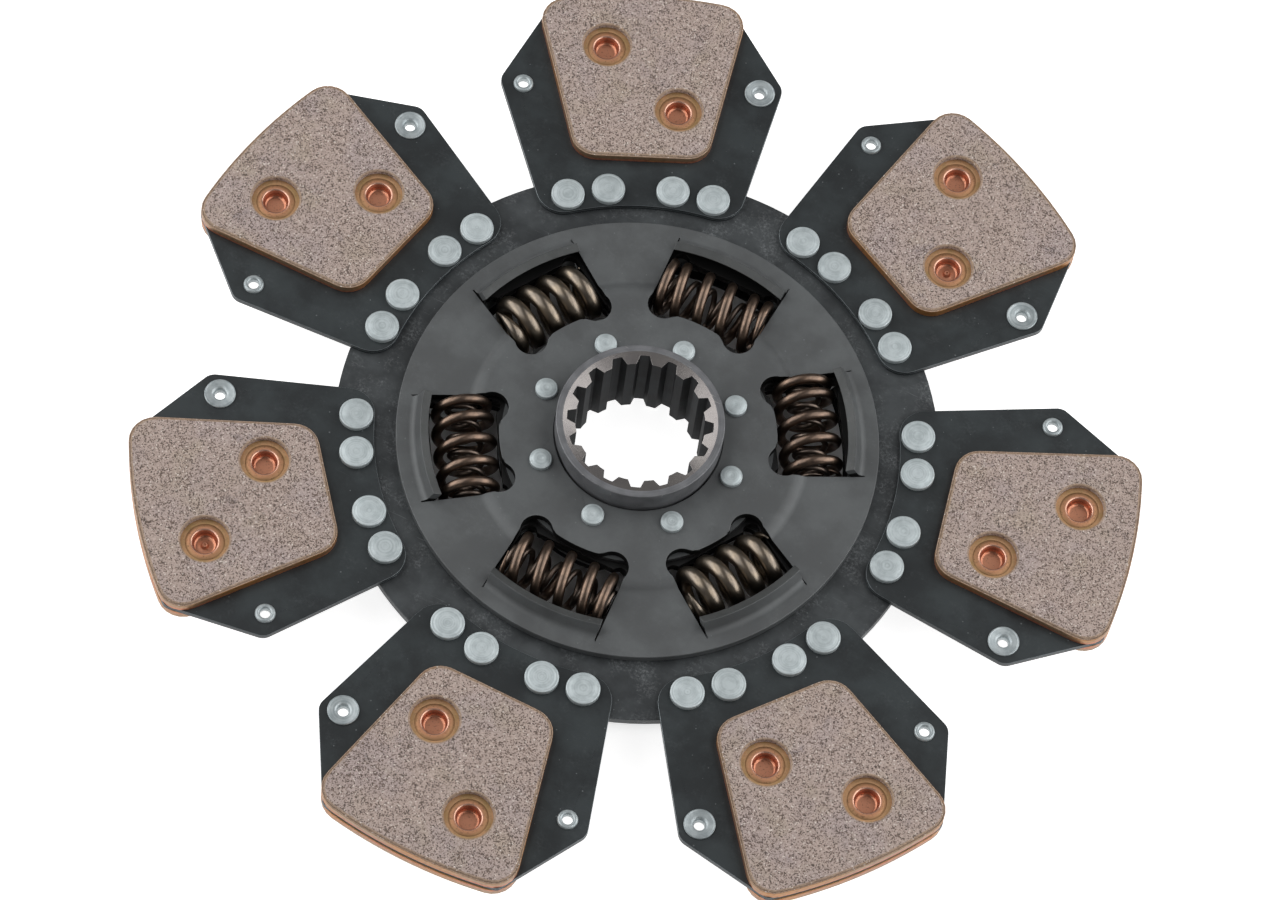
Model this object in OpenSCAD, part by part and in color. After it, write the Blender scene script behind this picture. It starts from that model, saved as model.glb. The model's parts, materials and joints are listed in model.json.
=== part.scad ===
// Torsion-damped clutch disc with seven sintered paddles.
// +Z points to the front of the disc, the hub's axis is Z, and z = 0 is the hub's rear end face.
// The first paddle points along -Y, and azimuths run counter-clockwise seen from the front.

/* [Disc] */
// Radius over the friction pads
disc_r = 155; // [130:1:190]
// Height of the carrier's mid-plane above the hub's rear end
mid_z = 14.7; // [12:0.1:20]
// Rotation each way before the stops meet, in degrees
twist = 4; // [1:0.5:5]

/* [Hub] */
// Length of the hub
hub_len = 30; // [25:0.5:45]
// Number of spline teeth
spline_teeth = 16; // [12:1:20]
// Radius at the bottom of the spline's gaps
spline_major_r = 22.35; // [18:0.05:28]
// Height of the teeth
spline_depth = 2.55; // [1.5:0.05:3.2]
// Width of a tooth at its tip
tooth_tip_w = 3; // [2:0.1:4]
// Width of a tooth at its root
tooth_root_w = 5.9; // [4:0.1:7.2]
// Wall between the spline's gaps and the outside of the collars
collar_wall = 3.45; // [2.5:0.05:6]
// Rim left between the mouth chamfer and the outside of the collars
mouth_rim = 2.1; // [1:0.1:3]
// Depth of the mouth chamfer
mouth_depth = 1; // [0.5:0.1:5]
// How far the collar steps in beside the side plates
collar_undercut = 0.5; // [0.2:0.1:1]
// Length of that step past the side plate
undercut_len = 1.2; // [0.5:0.1:2]
// How far the flange reaches past the collars
flange_w = 12.15; // [10:0.05:16]
// How far the stop lugs reach past the flange
lug_h = 3.05; // [2:0.05:3.8]
// Width of a stop lug
lug_w = 6; // [4:0.5:8]

/* [Friction rings] */
// Radial width of the friction rings
ring_w = 3.7; // [3:0.1:6]
// Gap between the flange and the friction rings
ring_gap = 0.35; // [0.2:0.05:1]
// Height of the conical spring washer
washer_h = 0.8; // [0.6:0.05:1.2]
// Thickness of its sheet
washer_t = 0.5; // [0.3:0.05:0.6]

/* [Damper springs] */
// Outer diameter of the springs
spring_od = 20; // [16:0.1:25]
// Room between the friction rings and the springs
spring_room = 0.8; // [0.5:0.1:3]
// Wire of the outer springs
spring_wire = 3.1; // [2:0.1:3.9]
// Pitch of the outer springs
spring_pitch = 7.7; // [6:0.1:10]
// Wire of the heavy springs
heavy_wire = 5; // [4:0.1:6]
// Pitch of the heavy springs
heavy_pitch = 7.15; // [6.2:0.05:9]
// Gap between an outer spring's wire and the spring inside it
inner_gap = 1.15; // [0.5:0.05:2]
// Wire of the inner springs
inner_wire = 1.8; // [1.2:0.1:2.4]
// Pitch of the inner springs
inner_pitch = 5.3; // [4:0.1:7]
// Room between a spring's ends and its window
spring_end_gap = 0.05; // [0.02:0.01:0.3]

/* [Spring windows] */
// Width of the two widest windows, at the springs' centre line
wide_window_w = 36; // [30:0.1:43.5]
// Width of the windows beside them that hold a spring pair
mid_window_w = 34.3; // [28.5:0.1:41.5]
// Width of the windows that hold a heavy spring
heavy_window_w = 33.6; // [28:0.1:40.5]
// How much nearer than a sixth of a turn they stand to the widest windows, in degrees
window_shift = 1.8; // [0:0.1:4]
// Room between the springs and the bulge on a window's inner edge
bulge_room = 0.15; // [0.1:0.05:1]
// Radius that blends the bulge into the corner lobes
bulge_blend_r = 4.5; // [3:0.1:5.5]
// Radius of the corner lobes
lobe_r = 5; // [4:0.1:6]
// How far the lobes reach in past the bulge
lobe_dip = 3.85; // [3:0.05:4.7]
// Distance from a lobe to the window's side line
lobe_side_gap = 0.2; // [0:0.05:1]
// How much a window's half-width grows per mm outwards
window_flare = 0.07; // [0:0.01:0.1]

/* [Window lips] */
// Room between the springs and the lips' inner edge
lip_gap = 1.25; // [0.5:0.05:3]
// Angle by which the lips are bent out
lip_angle = 65; // [45:1:80]
// Inside bend radius of the lips
lip_bend_r = 2.5; // [1:0.1:4]
// Straight length of a lip past its bend
lip_len = 3.2; // [2:0.1:5]
// Width of the slits beside a lip
lip_slit = 0.3; // [0.2:0.1:1]

/* [Side plates] */
// Thickness of the side plates
cover_t = 2.8; // [2:0.1:3.6]
// Flat rim between the lips and the edge
cover_rim_w = 3.8; // [2.5:0.1:8]
// Gap between the carrier disc and a side plate's rim
cover_gap = 0.5; // [0.3:0.1:1.5]
// Height of the raised middle over the rim
cover_step = 1.5; // [1.2:0.1:3]
// How far the middle of that step lies inside the springs' centre line
step_in = 1.8; // [0:0.1:5]
// Width of that step
step_w = 5; // [2.6:0.1:6]
// Gap round the collar's undercut
cover_hole_gap = 0.7; // [0.3:0.1:1.5]

/* [Hub rivets] */
// Number of rivets through the side plates and the flange
hub_rivet_count = 8; // [6:2:8]
// Distance from the collars to the circle of these rivets
hub_rivet_room = 5.7; // [5:0.1:8]
// Head diameter of the hub rivets
hub_head_d = 6.9; // [5.5:0.1:8.5]
// Shank diameter of the hub rivets
hub_shank_d = 4.8; // [4:0.1:5.8]

/* [Carrier disc] */
// Thickness of the carrier disc
carrier_t = 3; // [2:0.1:4]
// Distance from the side plates' edge to the circle of carrier rivets
carrier_rivet_room = 12.2; // [8:0.1:18]
// Rim outside the carrier rivets' heads
carrier_rim_w = 1.6; // [1:0.1:4]
// Distance of a paddle's two inner rivets from its axis, measured square to it
inner_rivet_x = 10.1; // [8:0.05:12.2]
// Distance of its two outer rivets
outer_rivet_x = 22.73; // [18.9:0.01:27.3]
// Head diameter of the carrier rivets
carrier_head_d = 10.4; // [8.6:0.1:12.5]
// Shank diameter of the carrier rivets
carrier_shank_d = 6; // [5:0.1:7.2]
// Head height of all solid rivets
rivet_head_h = 1.8; // [1.2:0.1:2.2]
// Edge chamfer of the solid rivets' heads
rivet_chamfer = 0.3; // [0.1:0.05:0.5]
// Gap between a rivet's shank and its hole
rivet_gap = 0.05; // [0.02:0.01:0.15]

/* [Paddle plates] */
// Thickness of one paddle plate
plate_t = 1; // [0.8:0.1:1.5]
// Inner edge of the paddles, measured inwards from the carrier rivets' heads
paddle_inner_rim = 0.4; // [0.2:0.1:3]
// Distance from the outer carrier rivets to a paddle's side, measured square to its axis
paddle_side_rim = 9.6; // [7:0.1:12]
// Distance from the disc's outside to the paddles' widest place
paddle_wide_in = 30.7; // [25:0.1:37]
// Angle of the long sides to the paddle's axis
paddle_side_angle = 16.8; // [14:0.1:20]
// Angle of the short outer sides to the paddle's axis
paddle_tip_angle = 29.7; // [24:0.1:36]
// How far the plates stay inside the pads' outer edge
paddle_setback = 0.4; // [0:0.1:2]
// Corner radius at the widest place
wide_corner_r = 4.5; // [3:0.5:8]
// Corner radius at the inner edge
root_corner_r = 8.5; // [6:0.5:10.5]
// Corner radius at the outer edge
tip_corner_r = 3; // [1:0.5:6]

/* [Pads] */
// Width of a pad at its inner edge, corners sharp
pad_inner_w = 41.2; // [34:0.1:50]
// Distance from the carrier disc's edge to the pads
pad_inner_room = 3.3; // [1:0.1:8]
// Angle of the pads' sides to the paddle's axis
pad_side_angle = 13.4; // [11:0.1:16.2]
// Corner radius of the pads
pad_corner_r = 8; // [5:0.5:10]
// Height of tray and sinter together
pad_h = 3.4; // [2.8:0.1:5]
// Thickness of the tray's floor
tray_t = 1; // [0.6:0.1:1.5]
// How far the sinter stands over the tray's wall
sinter_over = 0.4; // [0.2:0.1:1.5]
// Thickness of the tray's wall
tray_wall = 0.5; // [0.4:0.1:1]

/* [Pad rivets] */
// Place of a pad's outer rivet, as a share of the pad's length from its inner edge
pad_rivet_outer_share = 0.6786; // [0.6:0.001:0.75]
// Its distance from the paddle's axis
pad_rivet_outer_x = -11.31; // [-13.6:0.01:-9]
// Place of a pad's inner rivet, as such a share
pad_rivet_inner_share = 0.295; // [0.25:0.001:0.36]
// Its distance from the paddle's axis
pad_rivet_inner_x = 11.48; // [9:0.01:13.8]
// Outer diameter of the pad rivets' tube
pad_tube_d = 8.6; // [7:0.1:10.4]
// Wall of the pad rivets' tube
pad_tube_wall = 0.5; // [0.4:0.05:1]
// How far the flanges reach past the tube
pad_flange_w = 1.7; // [1:0.1:2.2]
// Thickness of the flanges
pad_flange_t = 0.5; // [0.4:0.05:0.8]
// Depth of the hollow in front
pad_cup_depth = 3.4; // [2:0.1:4]
// Radius at the bottom of that hollow
pad_cup_fillet = 1.8; // [0.5:0.1:2.4]
// Room between a flange and the pocket in the pad
pocket_room = 1.4; // [0.6:0.1:2]

/* [Eyelets] */
// Distance from a paddle's widest place in to the eyelets
eyelet_in = 1.7; // [0:0.1:5]
// Distance from a paddle's side corner to the eyelets, measured square to its axis
eyelet_side_in = 7.4; // [6:0.1:9]
// Bore of the eyelets
eyelet_bore = 3.15; // [2.6:0.05:3.8]
// Wall of the eyelets' tube
eyelet_wall = 0.525; // [0.4:0.005:0.65]
// How far an eyelet's wide head reaches past its tube
eyelet_head_w = 2.75; // [2.2:0.05:3.3]
// How far its rolled end does
eyelet_roll_w = 1.05; // [0.85:0.05:1.3]

/* [Hidden] */
PADDLES = 7;
$fn = 96;

// Heights, all from the carrier's mid-plane
carrier_top = carrier_t / 2;
rim_under = carrier_top + cover_gap;
middle_under = rim_under + cover_step;
cover_top = middle_under + cover_t;
stack_mid = carrier_top + plate_t;

// Radii, from the spline outwards
spline_minor_r = spline_major_r - spline_depth;
collar_r = spline_major_r + collar_wall;
mouth_r = collar_r - mouth_rim;
hub_rivet_ring_r = collar_r + hub_rivet_room;
flange_r = collar_r + flange_w;
lug_r = flange_r + lug_h;
ring_inner_r = flange_r + ring_gap;
spring_ring_r = ring_inner_r + ring_w + spring_room + spring_od / 2;
bulge_r = spring_ring_r - spring_od / 2 - bulge_room;
lobe_y = bulge_r - lobe_dip + lobe_r;
step_r = spring_ring_r - step_in;
lip_r = spring_ring_r + spring_od / 2 + lip_gap;
// Where a bent lip meets the flat rim
lip_root_r = lip_r + (lip_bend_r + cover_t) * sin(lip_angle) + lip_len * cos(lip_angle);
cover_r = lip_root_r + cover_rim_w;
carrier_rivet_ring_r = cover_r + carrier_rivet_room;
carrier_r = carrier_rivet_ring_r + carrier_head_d / 2 + carrier_rim_w;
paddle_inner_r = carrier_rivet_ring_r - carrier_head_d / 2 - paddle_inner_rim;
pad_inner_y = carrier_r + pad_inner_room;

// Angles of a paddle's four carrier rivets from its axis
RIVET_ANGLES = [for (x = [-outer_rivet_x, -inner_rivet_x, inner_rivet_x, outer_rivet_x])
    asin(x / carrier_rivet_ring_r)];
// The paddle's widest corner, on the side line that passes its outer rivets
rivet_y = carrier_rivet_ring_r * cos(RIVET_ANGLES[3]);
paddle_wide_y = disc_r - paddle_wide_in;
paddle_wide_x = outer_rivet_x + paddle_side_rim + (paddle_wide_y - rivet_y) * tan(paddle_side_angle);
// Places in a paddle, across and along its axis
pad_len = disc_r - pad_inner_y;
PAD_RIVETS = [
    [pad_rivet_outer_x, pad_inner_y + pad_rivet_outer_share * pad_len],
    [pad_rivet_inner_x, pad_inner_y + pad_rivet_inner_share * pad_len]];
EYELET = [paddle_wide_x - eyelet_side_in, paddle_wide_y - eyelet_in];
tray_h = pad_h - sinter_over;
pad_flange_d = pad_tube_d + 2 * pad_flange_w;
pocket_d = pad_flange_d + 2 * pocket_room;

window_pitch = 60 - window_shift;
// Each entry is a window: azimuth, width, turn of the spring's first crest, heavy or not
WINDOWS = [
    [90, wide_window_w, 0.35, false],
    [90 - window_pitch, mid_window_w, 0.42, false],
    [window_pitch - 90, heavy_window_w, 0.92, true],
    [-90, wide_window_w, 0.59, false],
    [-90 - window_pitch, mid_window_w, 0.76, false],
    [90 + window_pitch, heavy_window_w, 0.11, true]];
// Azimuths of the stop lugs, halfway between a wide window and its neighbours
LUGS = [for (side = [-1, 1], wide = [90, -90]) wide + side * window_pitch / 2];
disc_pitch = 360 / PADDLES;
// How far a cutting shape runs past what it cuts
cut = 1;
// Running gap between the carrier's bore and the hub's flange
carrier_bore_gap = 0.05;
// Room round a stop lug in its pocket, past the twist that it allows
stop_room = 0.2;
// Radius of the round edge between a pad rivet's flange and its hollow
pad_mouth_r = 0.55;
// Break of the pad rivets' edges
pad_rivet_edge = 0.15;
// How much thinner a stop lug is than the carrier
lug_thinner = 0.2;
// Break of the hub's end edges
hub_edge = 0.2;
// Gap between a friction ring's edge and the washer on it
washer_inset = 0.2;
// Room from the springs to the carrier's windows, along the radius
carrier_window_gap = 0.5;
// Round reliefs in the corners of those windows, and how far they reach past them
relief_r = 2.5;
relief_out = 0.5;
relief_in = 1;

steel_dark = [0.19, 0.21, 0.22];
steel_grey = [0.36, 0.36, 0.36];
steel_bright = [0.45, 0.45, 0.44];
zinc = [0.68, 0.71, 0.71];
copper = [0.72, 0.45, 0.34];
sinter = [0.58, 0.53, 0.50];
spring_brown = [0.32, 0.28, 0.26];
friction_black = [0.1, 0.1, 0.1];

// Points along an arc, from angle a0 to a1 in n steps
function arc(c, r, a0, a1, n) =
    [for (i = [0:n]) c + r * [cos(a0 + (a1 - a0) * i / n), sin(a0 + (a1 - a0) * i / n)]];

// A right-hand half outline that ends on the Y axis, closed with its mirror image
function mirrored(half) =
    let (last = half[0][0] < 0.001 ? 1 : 0)
    concat(half, [for (i = [len(half) - 2:-1:last]) [-half[i][0], half[i][1]]]);

// The y at which the line x = b + t*y is at distance q from the origin
function meet_y(b, t, q) = (-b * t + sqrt(b * b * t * t - (1 + t * t) * (b * b - q * q))) / (1 + t * t);

function on_line(b, t, y) = [b + t * y, y];

module at_paddle(k) {
    rotate([0, 0, (k - 1) * disc_pitch - 180]) children();
}

module at_polar(r, angle) {
    rotate([0, 0, angle]) translate([0, r, 0]) children();
}

// Mirrors what stands on the paddle plates to their other side
module on_stack(front) {
    translate([0, 0, mid_z + stack_mid]) mirror([0, 0, front ? 0 : 1]) children();
}

// Hub: one turned and broached piece with collars, flange and stop lugs

module spline_gap_2d() {
    minor_gap = PI * spline_minor_r / spline_teeth - tooth_tip_w / 2;
    major_gap = PI * spline_major_r / spline_teeth - tooth_root_w / 2;
    slope = (major_gap - minor_gap) / (spline_major_r - spline_minor_r);
    low = spline_minor_r - 2;
    high = spline_major_r + 2;
    half_low = minor_gap + slope * (low - spline_minor_r);
    half_high = minor_gap + slope * (high - spline_minor_r);
    polygon([[-half_low, low], [half_low, low], [half_high, high], [-half_high, high]]);
}

module spline_bore_2d() {
    circle(r = spline_minor_r);
    intersection() {
        circle(r = spline_major_r);
        union() for (i = [0:spline_teeth - 1]) rotate(i * 360 / spline_teeth) spline_gap_2d();
    }
}

module hub_turned() {
    foot_r = collar_r - collar_undercut;
    foot_top = mid_z + cover_top + undercut_len;
    foot_low = mid_z - cover_top - undercut_len;
    rotate_extrude() polygon([
        [0, 0], [collar_r - hub_edge, 0], [collar_r, hub_edge], [collar_r, foot_low - collar_undercut],
        [foot_r, foot_low], [foot_r, mid_z - middle_under], [flange_r, mid_z - middle_under],
        [flange_r, mid_z + middle_under], [foot_r, mid_z + middle_under], [foot_r, foot_top],
        [collar_r, foot_top + collar_undercut], [collar_r, hub_len - hub_edge],
        [collar_r - hub_edge, hub_len], [0, hub_len]]);
}

module stop_lugs() {
    lug_t = carrier_t - lug_thinner;
    root = 3;
    intersection() {
        translate([0, 0, mid_z - lug_t / 2]) cylinder(r = lug_r, h = lug_t);
        for (a = LUGS) rotate([0, 0, a])
            translate([flange_r - root, -lug_w / 2, 0]) cube([2 * root + lug_r - flange_r, lug_w, 2 * mid_z]);
    }
}

// Cone that opens the spline at z = 0
module mouth_chamfer() {
    slope = (mouth_r - spline_minor_r) / mouth_depth;
    translate([0, 0, -cut])
        cylinder(r1 = mouth_r + slope * cut, r2 = spline_minor_r - slope * cut, h = mouth_depth + 2 * cut);
}

module hub_rivet_holes() {
    for (i = [0:hub_rivet_count - 1]) rotate([0, 0, i * 360 / hub_rivet_count])
        translate([hub_rivet_ring_r, 0, -cut])
            cylinder(d = hub_shank_d + 2 * rivet_gap, h = 2 * mid_z + 2 * cut, $fn = 32);
}

module hub() {
    color(steel_bright) difference() {
        union() {
            hub_turned();
            stop_lugs();
        }
        translate([0, 0, -cut]) linear_extrude(hub_len + 2 * cut) spline_bore_2d();
        mouth_chamfer();
        translate([0, 0, hub_len]) mirror([0, 0, 1]) mouth_chamfer();
        hub_rivet_holes();
    }
}

// Side plates: pressed sheet with a raised middle, spring windows and bent-out lips

// A point of bent sheet's centre line, with its slope, moved to one face
function face_point(p, side) = [p[0] - side * cover_t / 2 * sin(p[2]), p[1] + side * cover_t / 2 * cos(p[2])];
function sheet_outline(path) = concat(
    [for (p = path) face_point(p, 1)],
    [for (i = [len(path) - 1:-1:0]) face_point(path[i], -1)]);

// Centre line of the plate from hole to rim; the step is two equal arcs
function plate_path() =
    let (a = 2 * atan(cover_step / step_w), bend_r = step_w / (2 * sin(a)), n = 5,
         high = middle_under + cover_t / 2, low = high - cover_step,
         r1 = step_r - step_w / 2, r2 = step_r + step_w / 2,
         hole = collar_r - collar_undercut + cover_hole_gap)
    concat([[hole, high, 0]],
           [for (i = [0:n]) let (b = a * i / n) [r1 + bend_r * sin(b), high - bend_r * (1 - cos(b)), -b]],
           [for (i = [n - 1:-1:0]) let (b = a * i / n)
               [r2 - bend_r * sin(b), low + bend_r * (1 - cos(b)), -b]],
           [[cover_r, low, 0]]);

// Centre line of a lip from its tip to where it joins the flat rim
function lip_path() =
    let (bend_r = lip_bend_r + cover_t / 2, n = 6, low = rim_under + cover_t / 2,
         end_r = lip_root_r - bend_r * sin(lip_angle), end_z = low + bend_r * (1 - cos(lip_angle)))
    concat([[end_r - lip_len * cos(lip_angle), end_z + lip_len * sin(lip_angle), -lip_angle]],
           [for (i = [n:-1:0]) let (a = lip_angle * i / n)
               [lip_root_r - bend_r * sin(a), low + bend_r * (1 - cos(a)), -a]],
           [[lip_root_r + 1, low, 0]]);

function half_width(w, y) = w / 2 + window_flare * (y - spring_ring_r);

// The strip between a window's two side lines, from y0 outwards, narrowed by inset on each side
module window_strip_2d(w, y0, inset) {
    y1 = cover_r + 5;
    polygon([[-half_width(w, y0) + inset, y0], [half_width(w, y0) - inset, y0],
             [half_width(w, y1) - inset, y1], [-half_width(w, y1) + inset, y1]]);
}

// A window: two sides, a round lobe in each inner corner, and a bulge blended in between them
function window_outline(w) =
    let (lobe = [w / 2 - lobe_side_gap - lobe_r, lobe_y], lobe_reach = norm(lobe),
         blend_reach = bulge_r - bulge_blend_r, touch = lobe_r + bulge_blend_r,
         swing = acos((blend_reach * blend_reach + lobe_reach * lobe_reach - touch * touch)
                      / (2 * blend_reach * lobe_reach)),
         blend_a = atan2(lobe[1], lobe[0]) + swing, blend = blend_reach * [cos(blend_a), sin(blend_a)],
         to_lobe = lobe - blend, lobe_a = atan2(to_lobe[1], to_lobe[0]),
         flare_a = atan(window_flare), side_reach = (half_width(w, lobe_y) - lobe[0]) * cos(flare_a),
         side_a = acos(min(1, side_reach / lobe_r)) - flare_a,
         top = on_line(half_width(w, 0), window_flare, meet_y(half_width(w, 0), window_flare, lip_root_r)))
    mirrored(concat(
        arc([0, 0], bulge_r, 90, blend_a, 3),
        arc(blend, bulge_blend_r, blend_a, lobe_a, 5),
        arc(lobe, lobe_r, lobe_a + 180, side_a + 360, 14),
        arc([0, 0], lip_root_r, atan2(top[1], top[0]), 90, 6)));

module side_plate_flat() {
    difference() {
        rotate_extrude($fn = 180) polygon(sheet_outline(plate_path()));
        for (w = WINDOWS) rotate([0, 0, w[0] - 90])
            translate([0, 0, rim_under - cut]) linear_extrude(cover_t + cover_step + 2 * cut)
                polygon(window_outline(w[1]));
        translate([0, 0, -mid_z]) hub_rivet_holes();
    }
}

module window_lips() {
    intersection() {
        rotate_extrude($fn = 180) polygon(sheet_outline(lip_path()));
        for (w = WINDOWS) rotate([0, 0, w[0] - 90])
            linear_extrude(4 * cover_top) window_strip_2d(w[1], spring_ring_r, lip_slit);
    }
}

module side_plate() {
    union() {
        side_plate_flat();
        window_lips();
    }
}

module front_side_plate() {
    color(steel_grey) translate([0, 0, mid_z]) side_plate();
}

module rear_side_plate() {
    color(steel_grey) translate([0, 0, mid_z]) mirror([0, 0, 1]) side_plate();
}

// Solid rivets: a shank with a flat head at each end, standing on z = 0

module solid_rivet(head_d, shank_d, grip) {
    r = head_d / 2;
    s = shank_d / 2;
    h = rivet_head_h;
    c = rivet_chamfer;
    rotate_extrude($fn = 48) polygon([
        [0, -h], [r - c, -h], [r, c - h], [r, 0], [s, 0], [s, grip], [r, grip], [r, grip + h - c],
        [r - c, grip + h], [0, grip + h]]);
}

module hub_rivets() {
    color(zinc) for (i = [0:hub_rivet_count - 1]) rotate([0, 0, i * 360 / hub_rivet_count])
        translate([hub_rivet_ring_r, 0, mid_z - cover_top])
            solid_rivet(hub_head_d, hub_shank_d, 2 * cover_top);
}

module at_carrier_rivets() {
    for (a = RIVET_ANGLES) at_polar(carrier_rivet_ring_r, a) children();
}

module carrier_rivets() {
    color(zinc) for (k = [1:PADDLES]) at_paddle(k) at_carrier_rivets()
        translate([0, 0, mid_z - carrier_top])
            solid_rivet(carrier_head_d, carrier_shank_d, carrier_t + 2 * plate_t);
}

// Carrier disc: flat plate that turns on the hub's flange between the side plates

function spring_len(w) = 2 * (half_width(w, spring_ring_r - spring_od / 2) - spring_end_gap);

module carrier_window_2d(w) {
    half = spring_len(w) / 2 + spring_end_gap;
    low = spring_ring_r - spring_od / 2 - carrier_window_gap;
    high = spring_ring_r + spring_od / 2 + carrier_window_gap;
    translate([-half, low]) square([2 * half, high - low]);
    for (side = [-1, 1], y = [low + relief_in, high - relief_in])
        translate([side * (half - relief_r + relief_out), y]) circle(r = relief_r, $fn = 48);
}

module stop_pocket_2d() {
    half = atan(lug_w / 2 / flange_r) + twist + stop_room;
    reach = lug_r + stop_room;
    intersection() {
        circle(r = reach);
        polygon([[0, 0], 2 * reach * [cos(half), -sin(half)], 2 * reach * [cos(half), sin(half)]]);
    }
}

module carrier_disc() {
    color(steel_dark) translate([0, 0, mid_z - carrier_top]) linear_extrude(carrier_t) difference() {
        circle(r = carrier_r, $fn = 180);
        circle(r = flange_r + carrier_bore_gap);
        for (a = LUGS) rotate(a) stop_pocket_2d();
        for (w = WINDOWS) rotate(w[0] - 90) carrier_window_2d(w[1]);
        for (k = [1:PADDLES]) at_paddle(k) at_carrier_rivets()
            circle(d = carrier_shank_d + 2 * rivet_gap, $fn = 32);
    }
}

// Friction rings and the conical washer that presses them on the carrier

module ring(h) {
    difference() {
        cylinder(r = ring_inner_r + ring_w, h = h);
        translate([0, 0, -cut]) cylinder(r = ring_inner_r, h = h + 2 * cut);
    }
}

module front_friction_ring() {
    color(friction_black) translate([0, 0, mid_z + carrier_top])
        ring(middle_under - carrier_top - washer_h);
}

module rear_friction_ring() {
    color(friction_black) translate([0, 0, mid_z - middle_under]) ring(middle_under - carrier_top);
}

module spring_washer() {
    inner = ring_inner_r + washer_inset;
    outer = ring_inner_r + ring_w - washer_inset;
    color(steel_grey) translate([0, 0, mid_z + middle_under - washer_h]) rotate_extrude() polygon([
        [inner, 0], [outer, washer_h - washer_t], [outer, washer_h], [inner, washer_t]]);
}

// Damper springs: wire swept along a helix with closed ends that are ground flat

// Place of the wire's centre along the spring after u turns of n
function coil_x(u, n, len, wire, pitch) =
    let (tip = 0.1 * wire, closed = wire + 0.15)
    u < 1 ? tip + closed * u - len / 2
    : u > n - 1 ? len / 2 - tip - closed * (n - u)
    : tip + closed + pitch * (u - 1) - len / 2;

function coil_turns(len, wire, pitch) = 2 + (len - 2 * (1.1 * wire + 0.15)) / pitch;

// Axis along X; the crest at turn "crest" is on +Z, and hand is 1 for a right-hand spring
module coil(len, od, wire, pitch, hand, crest, steps, sides) {
    n = coil_turns(len, wire, pitch);
    rings = ceil(n * steps);
    mean_r = (od - wire) / 2;
    points = [for (i = [0:rings], j = [0:sides - 1])
        let (u = n * i / rings, a = 360 * (u - crest) * hand, b = 360 * (j + 0.5) / sides,
             x = coil_x(u, n, len, wire, pitch) + wire / 2 * cos(b), r = mean_r + wire / 2 * sin(b))
        [max(-len / 2, min(len / 2, x)), -r * sin(a), r * cos(a)]];
    skin = [for (i = [0:rings - 1], j = [0:sides - 1])
        let (here = i * sides, next = here + sides, k = (j + 1) % sides)
        [here + j, here + k, next + k, next + j]];
    first = [for (j = [sides - 1:-1:0]) j];
    last = [for (j = [0:sides - 1]) rings * sides + j];
    faces = concat(skin, [first, last]);
    polyhedron(points, hand > 0 ? faces : [for (f = faces) [for (q = [len(f) - 1:-1:0]) f[q]]]);
}

module at_spring(w) {
    rotate([0, 0, w[0] - 90]) translate([0, spring_ring_r, mid_z]) children();
}

module damper_spring(w) {
    wire = w[3] ? heavy_wire : spring_wire;
    pitch = w[3] ? heavy_pitch : spring_pitch;
    color(w[3] ? steel_bright : spring_brown) at_spring(w)
        coil(spring_len(w[1]), spring_od, wire, pitch, 1, w[2], 14, 8);
}

module inner_springs() {
    inner_od = spring_od - 2 * spring_wire - 2 * inner_gap;
    color(spring_brown) for (w = WINDOWS) if (!w[3]) at_spring(w)
        coil(spring_len(w[1]), inner_od, inner_wire, inner_pitch, -1, 0.3, 10, 6);
}

// Paddles: two flat plates, and on each face a tray with its sintered pad

function paddle_outline() =
    let (ts = tan(paddle_side_angle), tt = tan(paddle_tip_angle),
         side_b = paddle_wide_x - paddle_wide_y * ts, tip_b = paddle_wide_x + paddle_wide_y * tt,
         outer = disc_r - paddle_setback,
         root_b = side_b - root_corner_r / cos(paddle_side_angle),
         root = on_line(root_b, ts, meet_y(root_b, ts, paddle_inner_r + root_corner_r)),
         wide_b = side_b - wide_corner_r / cos(paddle_side_angle),
         wide_tip_b = tip_b - wide_corner_r / cos(paddle_tip_angle),
         wide = on_line(wide_b, ts, (wide_tip_b - wide_b) / (ts + tt)),
         end_b = tip_b - tip_corner_r / cos(paddle_tip_angle),
         end = on_line(end_b, -tt, meet_y(end_b, -tt, outer - tip_corner_r)),
         root_a = atan2(root[1], root[0]), end_a = atan2(end[1], end[0]))
    mirrored(concat(
        arc([0, 0], paddle_inner_r, 90, root_a, 8),
        arc(root, root_corner_r, root_a - 180, -paddle_side_angle, 8),
        arc(wide, wide_corner_r, -paddle_side_angle, paddle_tip_angle, 6),
        arc(end, tip_corner_r, paddle_tip_angle, end_a, 4),
        arc([0, 0], outer, end_a, 90, 8)));

// Outline of tray and pad, moved inwards by inset
function pad_outline(inset) =
    let (t = tan(pad_side_angle), c = cos(pad_side_angle), corner = pad_corner_r - inset,
         b = pad_inner_w / 2 - pad_inner_y * t - (inset + corner) / c, outer = disc_r - inset,
         low = on_line(b, t, pad_inner_y + inset + corner),
         high = on_line(b, t, meet_y(b, t, outer - corner)), high_a = atan2(high[1], high[0]))
    mirrored(concat(
        arc(low, corner, -90, -pad_side_angle, 6),
        arc(high, corner, -pad_side_angle, high_a, 6),
        arc([0, 0], outer, high_a, 90, 8)));

module at_pad_rivets() {
    for (p = PAD_RIVETS) translate(p) children();
}

module plate_holes() {
    at_carrier_rivets() cylinder(d = carrier_shank_d + 2 * rivet_gap, h = 2 * cut + plate_t, $fn = 32);
    at_pad_rivets() cylinder(d = pad_tube_d + 2 * rivet_gap, h = 2 * cut + plate_t, $fn = 32);
    for (side = [-1, 1]) translate([side * EYELET[0], EYELET[1]])
        cylinder(d = eyelet_bore + 2 * eyelet_wall + 2 * rivet_gap, h = 2 * cut + plate_t, $fn = 32);
}

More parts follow.
